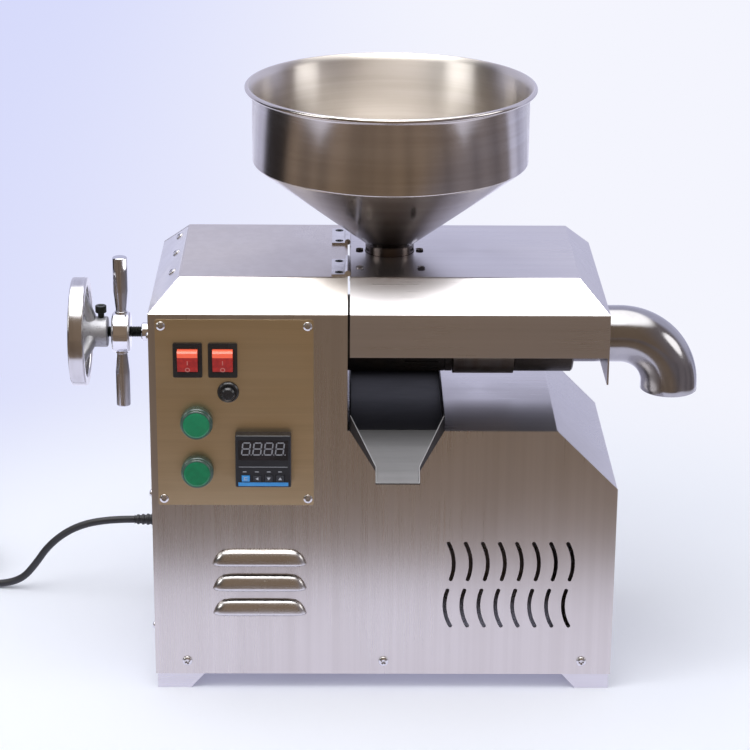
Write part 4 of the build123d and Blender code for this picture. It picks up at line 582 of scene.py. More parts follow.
# Control points of the neat coil, clockwise from above, two turns wide and three high
def coilPoints(look):
    middleX, middleY = look["coilMiddle"]
    stretch = 1 / math.cos(math.pi / look["pointsPerTurn"])    # the smooth line runs inside its points
    perPlace = 360 - look["shift"]
    points = []
    steps = int(look["coilTurns"] * look["pointsPerTurn"])
    for n in range(1, steps + 1):
        turned = n * 360 / look["pointsPerTurn"]
        index = min(int((turned + look["shift"] / 2) // perPlace), len(look["turnPlaces"]) - 1)
        into = (turned + look["shift"] / 2 - index * perPlace) / look["shift"]
        here = look["turnPlaces"][index]
        before = look["turnPlaces"][max(index - 1, 0)]
        t = max(0.0, min(1.0, into))
        t = t * t * (3 - 2 * t)
        radius = (before[0] * (1 - t) + here[0] * t) * stretch
        height = before[1] * (1 - t) + here[1] * t
        angle = math.radians(-90 - turned)
        points.append((middleX + radius * math.cos(angle), middleY + radius * math.sin(angle), height))
    return points


def makeCord(look):
    data = bpy.data.curves.new("mainsCord", "CURVE")
    data.dimensions = "3D"
    data.bevel_depth = look["diameter"] / 2
    data.bevel_resolution = 6
    data.use_fill_caps = True
    spline = data.splines.new("NURBS")
    route = look["route"] + coilPoints(look) + look["tail"]
    spline.points.add(len(route) - 1)
    for point, (x, y, z) in zip(spline.points, route):
        point.co = (x * mm, y * mm, z * mm, 1)
    spline.order_u = 3
    spline.use_endpoint_u = True
    spline.resolution_u = 6
    cordPiece = bpy.data.objects.new("mainsCord", data)
    bpy.context.scene.collection.objects.link(cordPiece)
    return dress(cordPiece, "frame", "cordRubber", ("cord", "cord_coil"))


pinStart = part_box("cord_plug")[1].y - 17.0 * mm
plugBody = dress(softened("plugBody", "cord_plug", 1.2 * mm, 3, keep=lambda p: p.y < pinStart + 0.01 * mm),
                 "frame", "cordRubber", ("cord_plug",))
plugPins = dress(softened("plugPins", "cord_plug", 0.3 * mm, 2, keep=lambda p: p.y > pinStart + 0.01 * mm),
                 "frame", "brightSteel")
mainsCord = makeCord(cordLook)

glandLook = {"flange": 9.5, "root": 6.5, "end": 4.6, "reliefLength": 28.0, "flangeThick": 5.0, "ribs": 6}


# Gland with a flange on the wall and a ribbed strain relief that tapers onto the cord
def makeGland(look):
    low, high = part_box("cord_gland")
    middle = ((low.y + high.y) / 2, (low.z + high.z) / 2)
    profile = [(0, 0), (0, look["flange"] * mm), ((look["flangeThick"] - 1) * mm, look["flange"] * mm),
               (look["flangeThick"] * mm, (look["flange"] - 1) * mm),
               (look["flangeThick"] * mm, look["root"] * mm)]
    for n in range(look["ribs"]):
        for share, depth in ((0.15, 0), (0.5, 0), (0.6, 0.9), (0.9, 0.9)):
            t = (n + share) / look["ribs"]
            radius = look["root"] * (1 - t) + look["end"] * t - depth
            profile.append(((look["flangeThick"] + look["reliefLength"] * t) * mm, radius * mm))
    tip = (look["flangeThick"] + look["reliefLength"]) * mm
    profile += [(tip, look["end"] * mm), (tip, 0)]
    place = axisFrame((leftX, middle[0], middle[1]), (-1, 0, 0))
    return dress(turned("strainRelief", profile, place, 40), "frame", "cordRubber",
                 ("cord_gland",))


makeGland(glandLook)
print("cord made")


# Hopper: spun bowl with a rolled rim
hopperLook = {"bowl": 120.6, "rim": 127.0, "wall": 1.2, "neck": 21.5, "inCollar": 376.0, "coneLow": 385.0,
              "coneTop": 460.0, "rimHeight": 525.0, "bead": 2.2, "foldRound": 3.0, "around": 224}


def makeHopper(look):
    middle = (hopperLow + hopperHigh) / 2
    neckFoot = hopperLow.z / mm
    neck, bowl, rimHeight = look["neck"], look["bowl"], look["rimHeight"]
    innerNeck, innerBowl = neck - look["wall"], bowl - look["wall"]
    outer = [(neckFoot, neck)] + roundedProfile(
        [(look["inCollar"], neck), (look["coneLow"], neck), (look["coneTop"], bowl), (rimHeight - 5, bowl)],
        look["foldRound"], 6)
    bead = []
    for n in range(15):
        turn = math.radians(215 + n * 20)
        bead.append((rimHeight + look["bead"] * math.sin(turn),
                     look["rim"] - look["bead"] + look["bead"] * math.cos(turn)))
    inner = roundedProfile([(rimHeight - 4, innerBowl), (look["coneTop"] - 0.3, innerBowl),
                            (look["coneLow"] + 0.3, innerNeck), (neckFoot, innerNeck)], look["foldRound"], 6)
    place = axisFrame((middle.x, middle.y, 0), (0, 0, 1))
    piece = turned("feedHopper", inMetres(outer + bead + inner), place, look["around"], True)
    dress(piece, "hopper", ("hopperSteel", "hopperInside"), ("hopper",))
    for face in piece.data.polygons:
        outward = Vector((face.center.x - middle.x, face.center.y - middle.y, 0))
        bright = face.normal.dot(outward) < 0 or face.center.z < look["inCollar"] * mm
        face.material_index = 1 if bright else 0
    return piece


makeHopper(hopperLook)


# Cake elbow: polished tube bent down, with a rounded cut edge
elbowLook = {"radius": 25.4, "wall": 1.5, "bend": 46.0, "drop": 6.0, "sleeve": 12.0, "outerRound": 0.5,
             "innerRound": 0.4, "around": 96, "bendSteps": 36}


def makeElbow(look):
    low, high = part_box("discharge_elbow")
    radius, bend = look["radius"], look["bend"]
    startX, endX = low.x / mm, high.x / mm - radius
    centreZ = pressZ / mm
    mouthZ = centreZ - bend - look["drop"]
    down = math.pi / 2

    # Middle of a ring and the direction along the tube there
    def station(x, z, angle):
        return Vector((x, pressY / mm, z)), Vector((math.cos(angle), 0, -math.sin(angle)))

    stations = [station(x, centreZ, 0) for x in (startX, startX + look["sleeve"], endX - bend)]
    for n in range(1, look["bendSteps"] + 1):
        angle = down * n / look["bendSteps"]
        across, up = bend * math.sin(angle), bend * math.cos(angle)
        stations.append(station(endX - bend + across, centreZ - bend + up, angle))
    stations.append(station(endX, mouthZ + look["outerRound"], down))
    mouth = station(endX, mouthZ, down)
    rings = [(*place, radius) for place in stations]
    rings += [(*mouth, radius - look["outerRound"]), (*mouth, radius - look["wall"] + look["innerRound"])]
    rings += [(*place, radius - look["wall"]) for place in reversed(stations)]
    work = bmesh.new()
    loops = []
    for middle, along, reach in rings:
        side = Vector((0, 1, 0))
        other = along.cross(side)
        turns = [2 * math.pi * n / look["around"] for n in range(look["around"])]
        loops.append([work.verts.new((middle + side * reach * math.cos(t) + other * reach * math.sin(t)) * mm)
                      for t in turns])
    for lower, upper in zip(loops, loops[1:] + loops[:1]):
        joinRings(work, lower, upper)
    return dress(pieceFrom("cakeElbow", work, 50), "frame", "polishedSteel",
                 ("discharge_elbow",))


makeElbow(elbowLook)
print("hopper and elbow made")


# Cabinet sheets: CAD forms with rounded edges
panelFace = coverLow.y - 2.0 * mm       # outer face of the front sheet
louvreLook = {"rows": 3, "pitch": 23.8, "lowest": 74.4, "start": 52.8, "length": 81.0, "height": 13.9,
              "reach": 6.9, "sheet": 1.1, "endRound": 9.0, "overlap": 0.9, "sink": 0.1, "below": 0.3,
              "acrossSteps": 60, "roundSteps": 12}


def isCornerFold(p):
    return p.x < leftX + 0.05 * mm and p.y < panelFace + 0.05 * mm


def isFlatSheet(p):
    return p.y > panelFace - 0.1 * mm


# Pressed hoods, open below, with rounded fronts and ends that die into the sheet
def makeLouvres(look):
    work = bmesh.new()
    half = look["length"] / 2 + look["overlap"]
    middle = leftX / mm + look["start"] + look["length"] / 2
    for row in range(look["rows"]):
        base = look["lowest"] + row * look["pitch"]
        grid = []
        for n in range(look["acrossSteps"] + 1):
            t = math.sin((n / look["acrossSteps"] - 0.5) * math.pi)     # steps crowd towards the ends
            fall = max(0.0, 1 - abs(t) ** look["endRound"])
            line = []
            for m in range(look["roundSteps"] + 1):
                turn = math.pi / 2 * m / look["roundSteps"]
                height = look["height"] * fall * math.cos(turn) ** 0.9
                reach = look["reach"] * fall ** 0.6 * math.sin(turn)
                x, y = (middle + half * t) * mm, panelFace - (reach - look["sink"]) * mm
                line.append(work.verts.new((x, y, (base - look["below"] + height) * mm)))
            grid.append(line)
        for first, second in zip(grid, grid[1:]):
            for m in range(look["roundSteps"]):
                work.faces.new((first[m], first[m + 1], second[m + 1], second[m]))
    bmesh.ops.remove_doubles(work, verts=work.verts, dist=1e-6)
    mesh = bpy.data.meshes.new("louvreHoods")
    work.to_mesh(mesh)
    work.free()
    piece = makePiece("louvreHoods", mesh, 60)
    wall = piece.modifiers.new("sheetThickness", "SOLIDIFY")
    wall.thickness, wall.offset = look["sheet"] * mm, -1.0
    return dress(piece, "frame", "louvreSteel")


sheetEdge, cornerEdge = 0.3 * mm, 1.25 * mm
sheetPieces = {     # node, body, finish, slot, edge rounding
    "lidSheet": ("lid", "lid", "cabinetTop", "brushed_cabinet", sheetEdge),
    "lowCover": ("lower_cover", "frame", "cabinetTop", "brushed_cabinet", sheetEdge),
    "endWall": ("left_end_plate", "frame", "wallSteel", "brushed_cabinet", sheetEdge),
    "rearSheet": ("rear_panel", "frame", "wallSteel", "brushed_cabinet", sheetEdge),
    "baseFold": ("base_frame", "frame", "cabinetTop", "frame_steel", sheetEdge),
    "oilChute": ("oil_chute", "frame", "chuteSteel", "polished_steel", 0.25 * mm),
    "controlPlate": ("control_plate", "frame", "goldPlate", "gold_plate", 0.2 * mm),
}
dress(softened("frontSheet", "front_panel", sheetEdge, 2, isFlatSheet, isCornerFold, cornerEdge), "frame",
      "cabinetFront", ("front_panel",))
makeLouvres(louvreLook)
for name, (nodeName, body, finish, slot, edge) in sheetPieces.items():
    dress(softened(name, nodeName, edge), body, finish, (nodeName,))
print("cabinet sheets made")


# Screws with a cross recess: head radius, head height and half length of the cross
screwSizes = {"skirt": (4.5, 2.4, 2.3), "wall": (3.5, 2.4, 1.9), "plate": (4.0, 1.8, 2.0),
              "flush": (3.4, 0.9, 1.7)}


# Pan head standing on local z 0, with a crossed slot cut into its dome
def screwMesh(radius, height, arm):
    work = bmesh.new()
    profile = roundedProfile([(0, radius), (height * 0.45, radius), (height, radius * 0.55), (height, 0)],
                             height * 0.5, 5)
    latheInto(work, [(0, 0)] + profile, Matrix.Identity(4), 36)
    head = pieceFrom("screwHead", work)
    work = bmesh.new()
    slotWidth = arm * 0.36
    corners = [(arm, slotWidth), (slotWidth, slotWidth), (slotWidth, arm)]
    cross = []
    for n in range(4):
        cross += corners
        corners = [(-y, x) for x, y in corners]
    prismInto(work, cross, Matrix.Translation((0, 0, height * 0.1)), height * 1.2)
    cutAway(head, pieceFrom("crossCutter", work))
    mesh = head.data
    bpy.data.objects.remove(head)
    return mesh


# One piece from copies of a screw at (place, direction, turn) in millimetres and degrees
def scatterScrews(name, size, spots, finish, replaced=()):
    work = bmesh.new()
    for place, direction, turn in spots:
        copy = screwMeshes[size].copy()
        copy.transform(axisFrame(Vector(place) * mm, direction) @ Matrix.Rotation(math.radians(turn), 4, "Z"))
        work.from_mesh(copy)
        bpy.data.meshes.remove(copy)
    joined = bpy.data.meshes.new(name)
    work.to_mesh(joined)
    work.free()
    return dress(makePiece(name, joined, 40), "frame", finish, replaced)


screwMeshes = {name: screwMesh(*(length * mm for length in size)) for name, size in screwSizes.items()}
left, frontFace, rearFace = leftX / mm, panelFace / mm, coverHigh.y / mm + 2.0
plateLeft, plateRight = plateLow.x / mm + 5.0, plateHigh.x / mm - 5.0
plateFoot, plateTop = plateLow.z / mm + 6.0, plateHigh.z / mm - 5.5
screwPlaces = {
    "skirt": [(left + 28.3, 27.0, 20), (left + 203.0, 27.0, 50), (left + 379.6, 27.0, 5)],      # x, z, turn
    "wall": [(depth, height) for depth in (9.0, 207.0) for height in (58.0, 185.0, 330.0)],
    "plate": [(plateLeft, plateFoot, 15), (plateLeft, plateTop, 60), (plateRight, plateFoot, 35),
              (plateRight, plateTop, 80)],
    "leaning": [69.1, 125.3, 177.1],        # how far behind the front face
    "hinge": (3.5, 35.5),                   # in from both ends of the two hinges
    "leanAcross": 26.0, "leanDown": 25.0, "leanShare": 0.66, "leanFoot": 352.0,     # slope of the top
}
leanAcross, leanDown, leanShare = (screwPlaces[key] for key in ("leanAcross", "leanDown", "leanShare"))
skirtSpots = [((x, frontFace, z), (0, -1, 0), turn) for x, z, turn in screwPlaces["skirt"]]
skirtSpots += [((x, rearFace, z), (0, 1, 0), turn + 25) for x, z, turn in screwPlaces["skirt"]]
wallSpots = [((left, frontFace + depth, z), (-1, 0, 0), 12 * n)
             for n, (depth, z) in enumerate(screwPlaces["wall"])]
plateSpots = [((x, plateFace / mm, z), (0, -1, 0), turn) for x, z, turn in screwPlaces["plate"]]
leanX, leanZ = left + leanAcross * leanShare, screwPlaces["leanFoot"] + leanDown * leanShare
leanSpots = [((leanX, frontFace + depth, leanZ), (-leanDown, 0, leanAcross), 17 * n)
             for n, depth in enumerate(screwPlaces["leaning"])]
hingeLow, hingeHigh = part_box("hinge_screws")
hingeMiddle = (hingeLow.x + hingeHigh.x) / 2 / mm
hingeDepths = [hingeLow.y + inset * mm for inset in screwPlaces["hinge"]]
hingeDepths += [hingeHigh.y - inset * mm for inset in reversed(screwPlaces["hinge"])]
hingeSpots = [((hingeMiddle, y / mm, hingeHigh.z / mm - 0.8), (0, 0, 1), 30) for y in hingeDepths]
scatterScrews("skirtScrews", "skirt", skirtSpots, "brightSteel", ("case_screws",))
scatterScrews("wallScrews", "wall", wallSpots, "brightSteel")
scatterScrews("plateScrews", "plate", plateSpots, "brightSteel")
scatterScrews("leaningScrews", "plate", leanSpots, "brightSteel")
scatterScrews("hingeScrews", "flush", hingeSpots, "blackOxide", ("hinge_screws",))
print("screws made")


# Handwheel, threaded spindle, set bolt, lock nut and its two levers
wheelLook = {"rimWidth": 14.0, "rimThick": 8.0, "radius": 48.6, "corner": 2.4, "around": 128, "spokes": 3,
             "hub": 13.8, "hubLength": 23.0, "hubStep": 8.5, "bore": 5.2,
             "spokeWidth": 12.0, "spokeHalf": 4.2, "flare": 0.35, "taper": 0.12, "squareness": 0.75,
             "stations": 9, "spokeAround": 20, "hubSink": 4.0, "rimSink": 2.5, "hubSeat": 8.0,
             "rimSeat": 0.55}
wheelLow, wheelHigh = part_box("handwheel")
hubStart, rimStart = wheelHigh.x / mm - wheelLook["hubLength"], wheelLow.x / mm


# Tapered oval spoke from the hub out to the dished rim
def spokeInto(work, look, turn):
    angle = math.radians(turn)
    middle = Vector((0, pressY / mm, pressZ / mm))
    outward = Vector((0, -math.sin(angle), math.cos(angle)))
    sideways = Vector((0, math.cos(angle), math.sin(angle)))
    foot, tip = look["hub"] - look["hubSink"], look["radius"] - look["rimThick"] + look["rimSink"]
    loops = []
    for n in range(look["stations"]):
        t = n / (look["stations"] - 1)
        bend = t * t * (3 - 2 * t)
        reach = foot * (1 - t) + tip * t
        x = (hubStart + look["hubSeat"]) * (1 - bend) + (rimStart + look["rimWidth"] * look["rimSeat"]) * bend
        flare = 1 + look["flare"] * abs(2 * t - 1) ** 3
        wide, thick = look["spokeWidth"] / 2 * flare * (1 - look["taper"] * t), look["spokeHalf"] * flare
        loop = []
        for m in range(look["spokeAround"]):
            around = 2 * math.pi * m / look["spokeAround"]
            c, s = math.cos(around), math.sin(around)
            offset = sideways * wide * math.copysign(abs(c) ** look["squareness"], c)
            offset += Vector((1, 0, 0)) * thick * math.copysign(abs(s) ** look["squareness"], s)
            loop.append(work.verts.new((middle + Vector((x, 0, 0)) + outward * reach + offset) * mm))
        loops.append(loop)
    for lower, upper in zip(loops, loops[1:]):
        joinRings(work, lower, upper)
    work.faces.new(loops[0])
    work.faces.new(list(reversed(loops[-1])))


def makeWheel(look):
    inner, outer, width = look["radius"] - look["rimThick"], look["radius"], look["rimWidth"]
    middle = (inner + outer) / 2
    rim = roundedProfile([(0, middle), (0, outer), (width, outer), (width, inner), (0, inner), (0, middle)],
                         look["corner"], 6)[:-1]
    rimPlace = axisFrame((rimStart * mm, pressY, pressZ), (1, 0, 0))
    wheelRim = turned("wheelRim", inMetres(rim), rimPlace, look["around"], True, sharpAngle=60)
    dress(wheelRim, "spindle", "rimSteel", ("handwheel",))
    hub, bore, length = look["hub"], look["bore"], look["hubLength"]
    profile = roundedProfile([(0, bore), (0, hub - 0.6), (look["hubStep"], hub), (length - 1, hub),
                              (length, hub - 1), (length, bore)], 1.3, 5)
    hubPlace = axisFrame((hubStart * mm, pressY, pressZ), (1, 0, 0))
    dress(turned("wheelHub", inMetres(profile), hubPlace, 72, True), "spindle", "castGrey")
    work = bmesh.new()
    for n in range(look["spokes"]):
        spokeInto(work, look, n * 360 / look["spokes"])
    dress(pieceFrom("wheelSpokes", work, 60), "spindle", "castGrey")


makeWheel(wheelLook)

spindleLook = {"radius": 5.0, "pitch": 1.5, "depth": 0.75, "flank": 1.15, "around": 40, "stepsPerTurn": 8,
               "wallGap": 0.5, "plainShare": 0.98, "collar": 9.0, "collarLength": 5.0, "collarGap": 0.3}


# Shaft with a screw thread along its outer length and a plain collar inside
def makeSpindle(look):
    low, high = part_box("spindle")
    threadEnd = leftX - look["wallGap"] * mm
    pitch = look["pitch"] * mm
    count = int((threadEnd - low.x) / pitch * look["stepsPerTurn"])

    def thread(height, turn):
        phase = (height / pitch + turn / (2 * math.pi)) % 1.0
        return -look["depth"] * mm * min(1.0, abs(2 * phase - 1) * look["flank"])

    profile = [(n * pitch / look["stepsPerTurn"], look["radius"] * mm) for n in range(count + 1)]
    place = axisFrame((low.x, pressY, pressZ), (1, 0, 0))
    work = bmesh.new()
    latheInto(work, [(-1e-7, 0)] + profile[:1], place, look["around"])
    latheInto(work, profile, place, look["around"], ripple=thread)
    shaft, collar = look["radius"] * mm * look["plainShare"], look["collar"] * mm
    end = high.x - low.x
    latheInto(work, [(profile[-1][0], shaft), (end, shaft), (end, 0)], place, look["around"])
    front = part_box("crosshead")[0].x - low.x - look["collarGap"] * mm
    back = front - look["collarLength"] * mm
    latheInto(work, [(back, shaft), (back, collar), (front, collar), (front, shaft)], place, look["around"])
    return dress(pieceFrom("threadedSpindle", work, 30), "spindle", "blackOxide", ("spindle",))


makeSpindle(spindleLook)

boltLook = {"head": 5.0, "headHeight": 6.2, "shank": 2.8, "socket": 2.3, "socketDepth": 3.0, "edge": 0.5}


def makeSetBolt(look):
    low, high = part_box("set_bolt")
    place = axisFrame(((low.x + high.x) / 2, pressY, low.z), (0, 0, 1))
    top = (high.z - low.z) / mm
    under = top - look["headHeight"]
    profile = roundedProfile([(0, 0), (0, look["shank"]), (under, look["shank"]), (under, look["head"]),
                              (top, look["head"]), (top, 0)], look["edge"], 3)
    bolt = turned("setBolt", inMetres(profile), place, 48)
    work = bmesh.new()
    turns = [math.radians(60 * n) for n in range(6)]
    hexagon = [(look["socket"] * math.cos(turn), look["socket"] * math.sin(turn)) for turn in turns]
    socketPlace = place @ Matrix.Translation((0, 0, (top - look["socketDepth"]) * mm))
    prismInto(work, inMetres(hexagon), socketPlace, 2 * look["socketDepth"] * mm)
    cutAway(bolt, pieceFrom("socketCutter", work))
    return dress(bolt, "spindle", "blackOxide", ("set_bolt",))


makeSetBolt(boltLook)

nutLook = {"radius": 18.2, "bore": 5.1, "corner": 3.0, "gripRadius": 6.5, "gripLength": 32.0,
           "neckRadius": 4.6, "collarRadius": 5.6, "collarHeight": 1.6, "capRadius": 3.4, "footDepth": 2.0}


def makeLockNut(look):
    low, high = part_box("lock_nut")
    radius, bore, length = look["radius"], look["bore"], (high.x - low.x) / mm
    place = axisFrame((low.x, pressY, pressZ), (1, 0, 0))
    profile = roundedProfile([(0, bore), (0, radius), (length, radius), (length, bore)], look["corner"], 8)
    lockNut = turned("lockNut", inMetres(profile), place, 96, True, sharpAngle=50)
    dress(lockNut, "lock_nut", "chrome", ("lock_nut",))
    middle = ((low.x + high.x) / 2, pressY, pressZ)
    tip = (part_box("lock_levers")[1].z - pressZ) / mm
    foot, grip, neck = radius - look["footDepth"], look["gripRadius"], look["neckRadius"]
    gripPoints = roundedProfile([(foot, 0), (foot, neck), (radius + 1.0, neck),
                                 (tip - look["gripLength"], grip), (tip - 1.0, grip),
                                 (tip - 0.3, grip - 0.9), (tip - 0.3, 0)], 1.0, 5)
    collar, collarTop = look["collarRadius"], radius + look["collarHeight"]
    collarPoints = roundedProfile([(foot, neck), (foot, collar), (collarTop, collar), (collarTop, neck)],
                                  0.5, 4)
    capPoints = [(tip - 0.4, look["capRadius"]), (tip - 0.15, look["capRadius"] - 0.3), (tip, 0)]
    upward, downward = (0, 0, 1), (0, 0, -1)
    for name, points, finish, slot, replaced, directions in (
            ("leverGrips", gripPoints, "gripSteel", "dark_grips", ("lock_levers",), (upward, downward)),
            ("leverCollars", collarPoints, "chrome", "chrome", (), (upward, downward)),
            ("leverCap", capPoints, "chrome", "chrome", (), (downward,))):
        work = bmesh.new()
        for direction in directions:
            latheInto(work, inMetres(points), axisFrame(middle, direction), 56)
        dress(pieceFrom(name, work, 45), "lock_nut", finish, replaced)


makeLockNut(nutLook)
print("handwheel group made")


# Controls on the plate: switches, fuse, pilot lamps and temperature controller
dress(softened("switchHousings", "switch_housings", 0.45 * mm, 3), "frame", "blackBezel",
      ("switch_housings",))
rockerLook = {"faceTilt": 12.0, "pivotDepth": 5.0, "halfHeight": 10.3, "sink": 0.02, "markThick": 0.08,
              "markWidth": 0.7, "lineHeight": 4.0, "ringRadius": 2.1, "lineDown": 10.6, "ringDown": 17.4}


# Raised line and ring that show on and off, laid on the sloping face of the rocker
def rockerMarks(name, nodeName, look):
    low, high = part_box(nodeName)
    tilt = math.radians(look["faceTilt"])
    outward = Vector((0, -math.cos(tilt), -math.sin(tilt)))
    upward = Vector((0, -math.sin(tilt), math.cos(tilt)))
    pivot = Vector(((low.x + high.x) / 2, plateFace, (low.z + high.z) / 2))
    face = pivot + outward * (look["pivotDepth"] - look["sink"]) * mm
    thick = look["markThick"] * mm

    def placeDown(down):
        return axisFrame(face + upward * (look["halfHeight"] - down) * mm, outward, upward)

    work = bmesh.new()
    tall, wide = look["lineHeight"] / 2 * mm, look["markWidth"] / 2 * mm
    prismInto(work, rectangle(-tall, -wide, tall, wide), placeDown(look["lineDown"]), thick)
    outer, inner = look["ringRadius"] * mm, (look["ringRadius"] - look["markWidth"]) * mm
    ring = [(0, inner), (0, outer), (thick, outer), (thick, inner)]
    latheInto(work, ring, placeDown(look["ringDown"]), 32, True)
    return dress(pieceFrom(name, work), nodeName, "markPale")


for side in ("left", "right"):
    nodeName = "rocker_" + side
    dress(softened(side + "Rocker", nodeName, 0.35 * mm, 3), nodeName, "redRocker", (nodeName,))
    rockerMarks(side + "RockerMarks", nodeName, rockerLook)


# Fine grooves along a turned part, between two heights
def ridged(count, depth, low, high):
    def ripple(height, turn):
        return -depth * (0.5 + 0.5 * math.cos(turn * count)) if low < height < high else 0.0
    return ripple


fuseLook = {"flange": 9.5, "flangeThick": 3.0, "body": 7.5, "cap": 6.2, "capDepth": 7.9, "capRound": 1.6,
            "knurls": 24, "knurlDepth": 0.25}


def makeFuse(look):
    low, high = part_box("fuse_holder")
    place = axisFrame(((low.x + high.x) / 2, plateFace, (low.z + high.z) / 2), (0, -1, 0))
    back, reach = (plateFace - high.y) / mm, (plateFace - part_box("fuse_cap")[0].y) / mm
    wide, thick, cap, bore = look["flange"], look["flangeThick"], look["cap"], look["cap"] + 0.1
    flange = roundedProfile([(back, bore), (back, look["body"]), (-0.05, look["body"]), (0, wide),
                             (1.6, wide - 0.2), (thick, wide - 1.4), (thick, bore)], 0.8, 5)
    dress(turned("fuseCollar", inMetres(flange), place, 72, True), "frame", "blackBezel",
          ("fuse_holder",))
    knurl = ridged(look["knurls"], look["knurlDepth"] * mm, 1.0 * mm, (reach - 2.6) * mm)
    profile = roundedProfile([(-look["capDepth"], 0), (-look["capDepth"], cap), (reach - 2.4, cap),
                              (reach - 0.6, cap - look["capRound"]), (reach, 0)], 1.2, 6)
    fuseCap = turned("fuseCap", inMetres(profile), place, 96, ripple=knurl)
    dress(fuseCap, "fuse_cap", "blackBezel", ("fuse_cap",))


makeFuse(fuseLook)

lampLook = {"collar": 14.0, "collarLength": 8.0, "bore": 11.0, "lens": 12.5, "lensLength": 12.0,
            "rimEnd": 11.2, "ridges": 48, "ridgeDepth": 0.45, "ridgeFrom": 0.8, "ridgeTo": 6.6}


def makeLamps(look):
    low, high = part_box("lamp_bezels")
    collar, length, lens, rimEnd = look["collar"], look["collarLength"], look["lens"], look["rimEnd"]
    ridge = ridged(look["ridges"], look["ridgeDepth"] * mm, look["ridgeFrom"] * mm, look["ridgeTo"] * mm)
    collarPoints = roundedProfile([(0, look["bore"]), (0, collar), (length - 1.0, collar),
                                   (length, collar - 1.0), (length, lens - 0.3), (1.9, lens - 0.3)], 0.5, 3)
    rimPoints = roundedProfile([(length - 0.4, lens + 0.5), (rimEnd - 0.8, lens + 0.5), (rimEnd, lens - 0.2),
                                (rimEnd, lens - 1.0)], 0.5, 4)
    lensPoints = roundedProfile([(2.0, 0), (2.0, lens - 0.4), (10.9, lens - 0.6),
                                 (look["lensLength"] - 0.35, lens - 2.4), (look["lensLength"], 0)], 1.2, 6)
    middles = (low.z + collar * mm, high.z - collar * mm)
    for name, points, around, ripple, finish, slot, replaced in (
            ("lampCollars", collarPoints, 192, ridge, "lampCollar", "lamp_bezel", ("lamp_bezels",)),
            ("lampRims", rimPoints, 96, None, "lampCollar", "lamp_bezel", ()),
            ("lampLenses", lensPoints, 96, None, "greenLens", "green_lens", ("lamp_lenses",))):
        work = bmesh.new()
        for middleZ in middles:
            place = axisFrame(((low.x + high.x) / 2, plateFace, middleZ), (0, -1, 0))
            latheInto(work, inMetres(points), place, around, ripple=ripple)
        dress(pieceFrom(name, work, 50), "frame", finish, replaced)


makeLamps(lampLook)

meterLook = {"size": 48.0, "window": (2.6, 4.4, 45.4, 22.6), "windowThick": 0.06, "markThick": 0.05,
             "digits": 4, "digitTop": 6.6, "digitHeight": 11.0, "digitWidth": 6.6, "digitPitch": 9.7,
             "firstDigit": 5.4, "stroke": 1.15, "lean": 0.12, "barCut": 0.8, "barPoint": 0.35,
             "dotGap": 1.3, "dotTop": 17.2, "dot": 0.9, "line": (3.0, 28.7, 45.0, 29.05),
             "keyMiddles": (8.0, 18.5, 28.7, 38.5), "markDown": 33.0, "markHalf": 1.6, "markTall": 0.7,
             "band": (2.4, 43.2, 45.6, 46.6)}


# Square panel controller: dark window, unlit digits, key marks and a blue band
def makeMeter(look):
    low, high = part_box("temperature_controller")
    leftEdge, top = (low.x + high.x - look["size"] * mm) / 2, (low.z + high.z + look["size"] * mm) / 2
    dress(softened("meterCase", "temperature_controller", 0.35 * mm), "frame", "controllerBlack",
          ("temperature_controller",))

    # Thin flat shape on the face, from corners given as (right, down)
    def plateInto(work, corners, out=0.0, thick=look["markThick"]):
        rings = []
        for depth in (out, out + thick):
            face = low.y - depth * mm
            rings.append([work.verts.new((leftEdge + x * mm, face, top - y * mm)) for x, y in corners])
        work.faces.new(rings[1])
        joinRings(work, *rings)

    # One bar of a digit, pointed at both ends
    def bar(start, end):
        along = (end - start).normalized()
        side = Vector((along.y, -along.x)) * look["stroke"] / 2
        cut, point = along * look["barCut"], along * look["barPoint"]
        return [start + cut + side, end - cut + side, end - point, end - cut - side, start + cut - side,
                start + point]

    window, digits, marks, band = (bmesh.new() for n in range(4))
    plateInto(window, rectangle(*look["window"]), 0.0, look["windowThick"])
    wide, tall = look["digitWidth"], look["digitHeight"]
    corner = [Vector((x, y)) for y in (0, tall / 2, tall) for x in (0, wide)]
    for n in range(look["digits"]):
        right = look["firstDigit"] + n * look["digitPitch"]
        for first, last in ((0, 1), (2, 3), (4, 5), (0, 2), (1, 3), (2, 4), (3, 5)):
            slanted = [(right + x + (tall - y) * look["lean"], look["digitTop"] + y)
                       for x, y in bar(corner[first], corner[last])]
            plateInto(digits, slanted, look["windowThick"])
        dotX, dotY, dot = right + wide + look["dotGap"], look["dotTop"], look["dot"]
        plateInto(digits, rectangle(dotX, dotY, dotX + dot, dotY + dot), look["windowThick"])
    plateInto(marks, rectangle(*look["line"]))
    for right in look["keyMiddles"]:
        half, down = look["markHalf"], look["markDown"]
        plateInto(marks, rectangle(right - half, down, right + half, down + look["markTall"]))
    plateInto(band, rectangle(*look["band"]))
    for name, work, finish in (("meterWindow", window, "darkGlass"), ("meterDigits", digits, "digitGrey"),
                               ("meterLines", marks, "markGrey"), ("meterBand", band, "keyBlue")):
        dress(pieceFrom(name, work), "frame", finish)


makeMeter(meterLook)

keyLook = {"edge": 0.15, "sink": 0.02, "markThick": 0.07}
keyMarks = {
    "key_set": [rectangle(-1.5, -1.3, 1.5, -0.75), rectangle(-1.5, 0.75, 1.5, 1.3),
                rectangle(-1.5, -0.75, -0.95, 0.75)],
    "key_shift": [[(-1.5, 0), (1.0, -1.5), (1.0, 1.5)]],
    "key_down": [[(-1.6, 1.2), (1.6, 1.2), (0, -1.4)]],
    "key_up": [[(-1.6, -1.2), (1.6, -1.2), (0, 1.4)]],
}


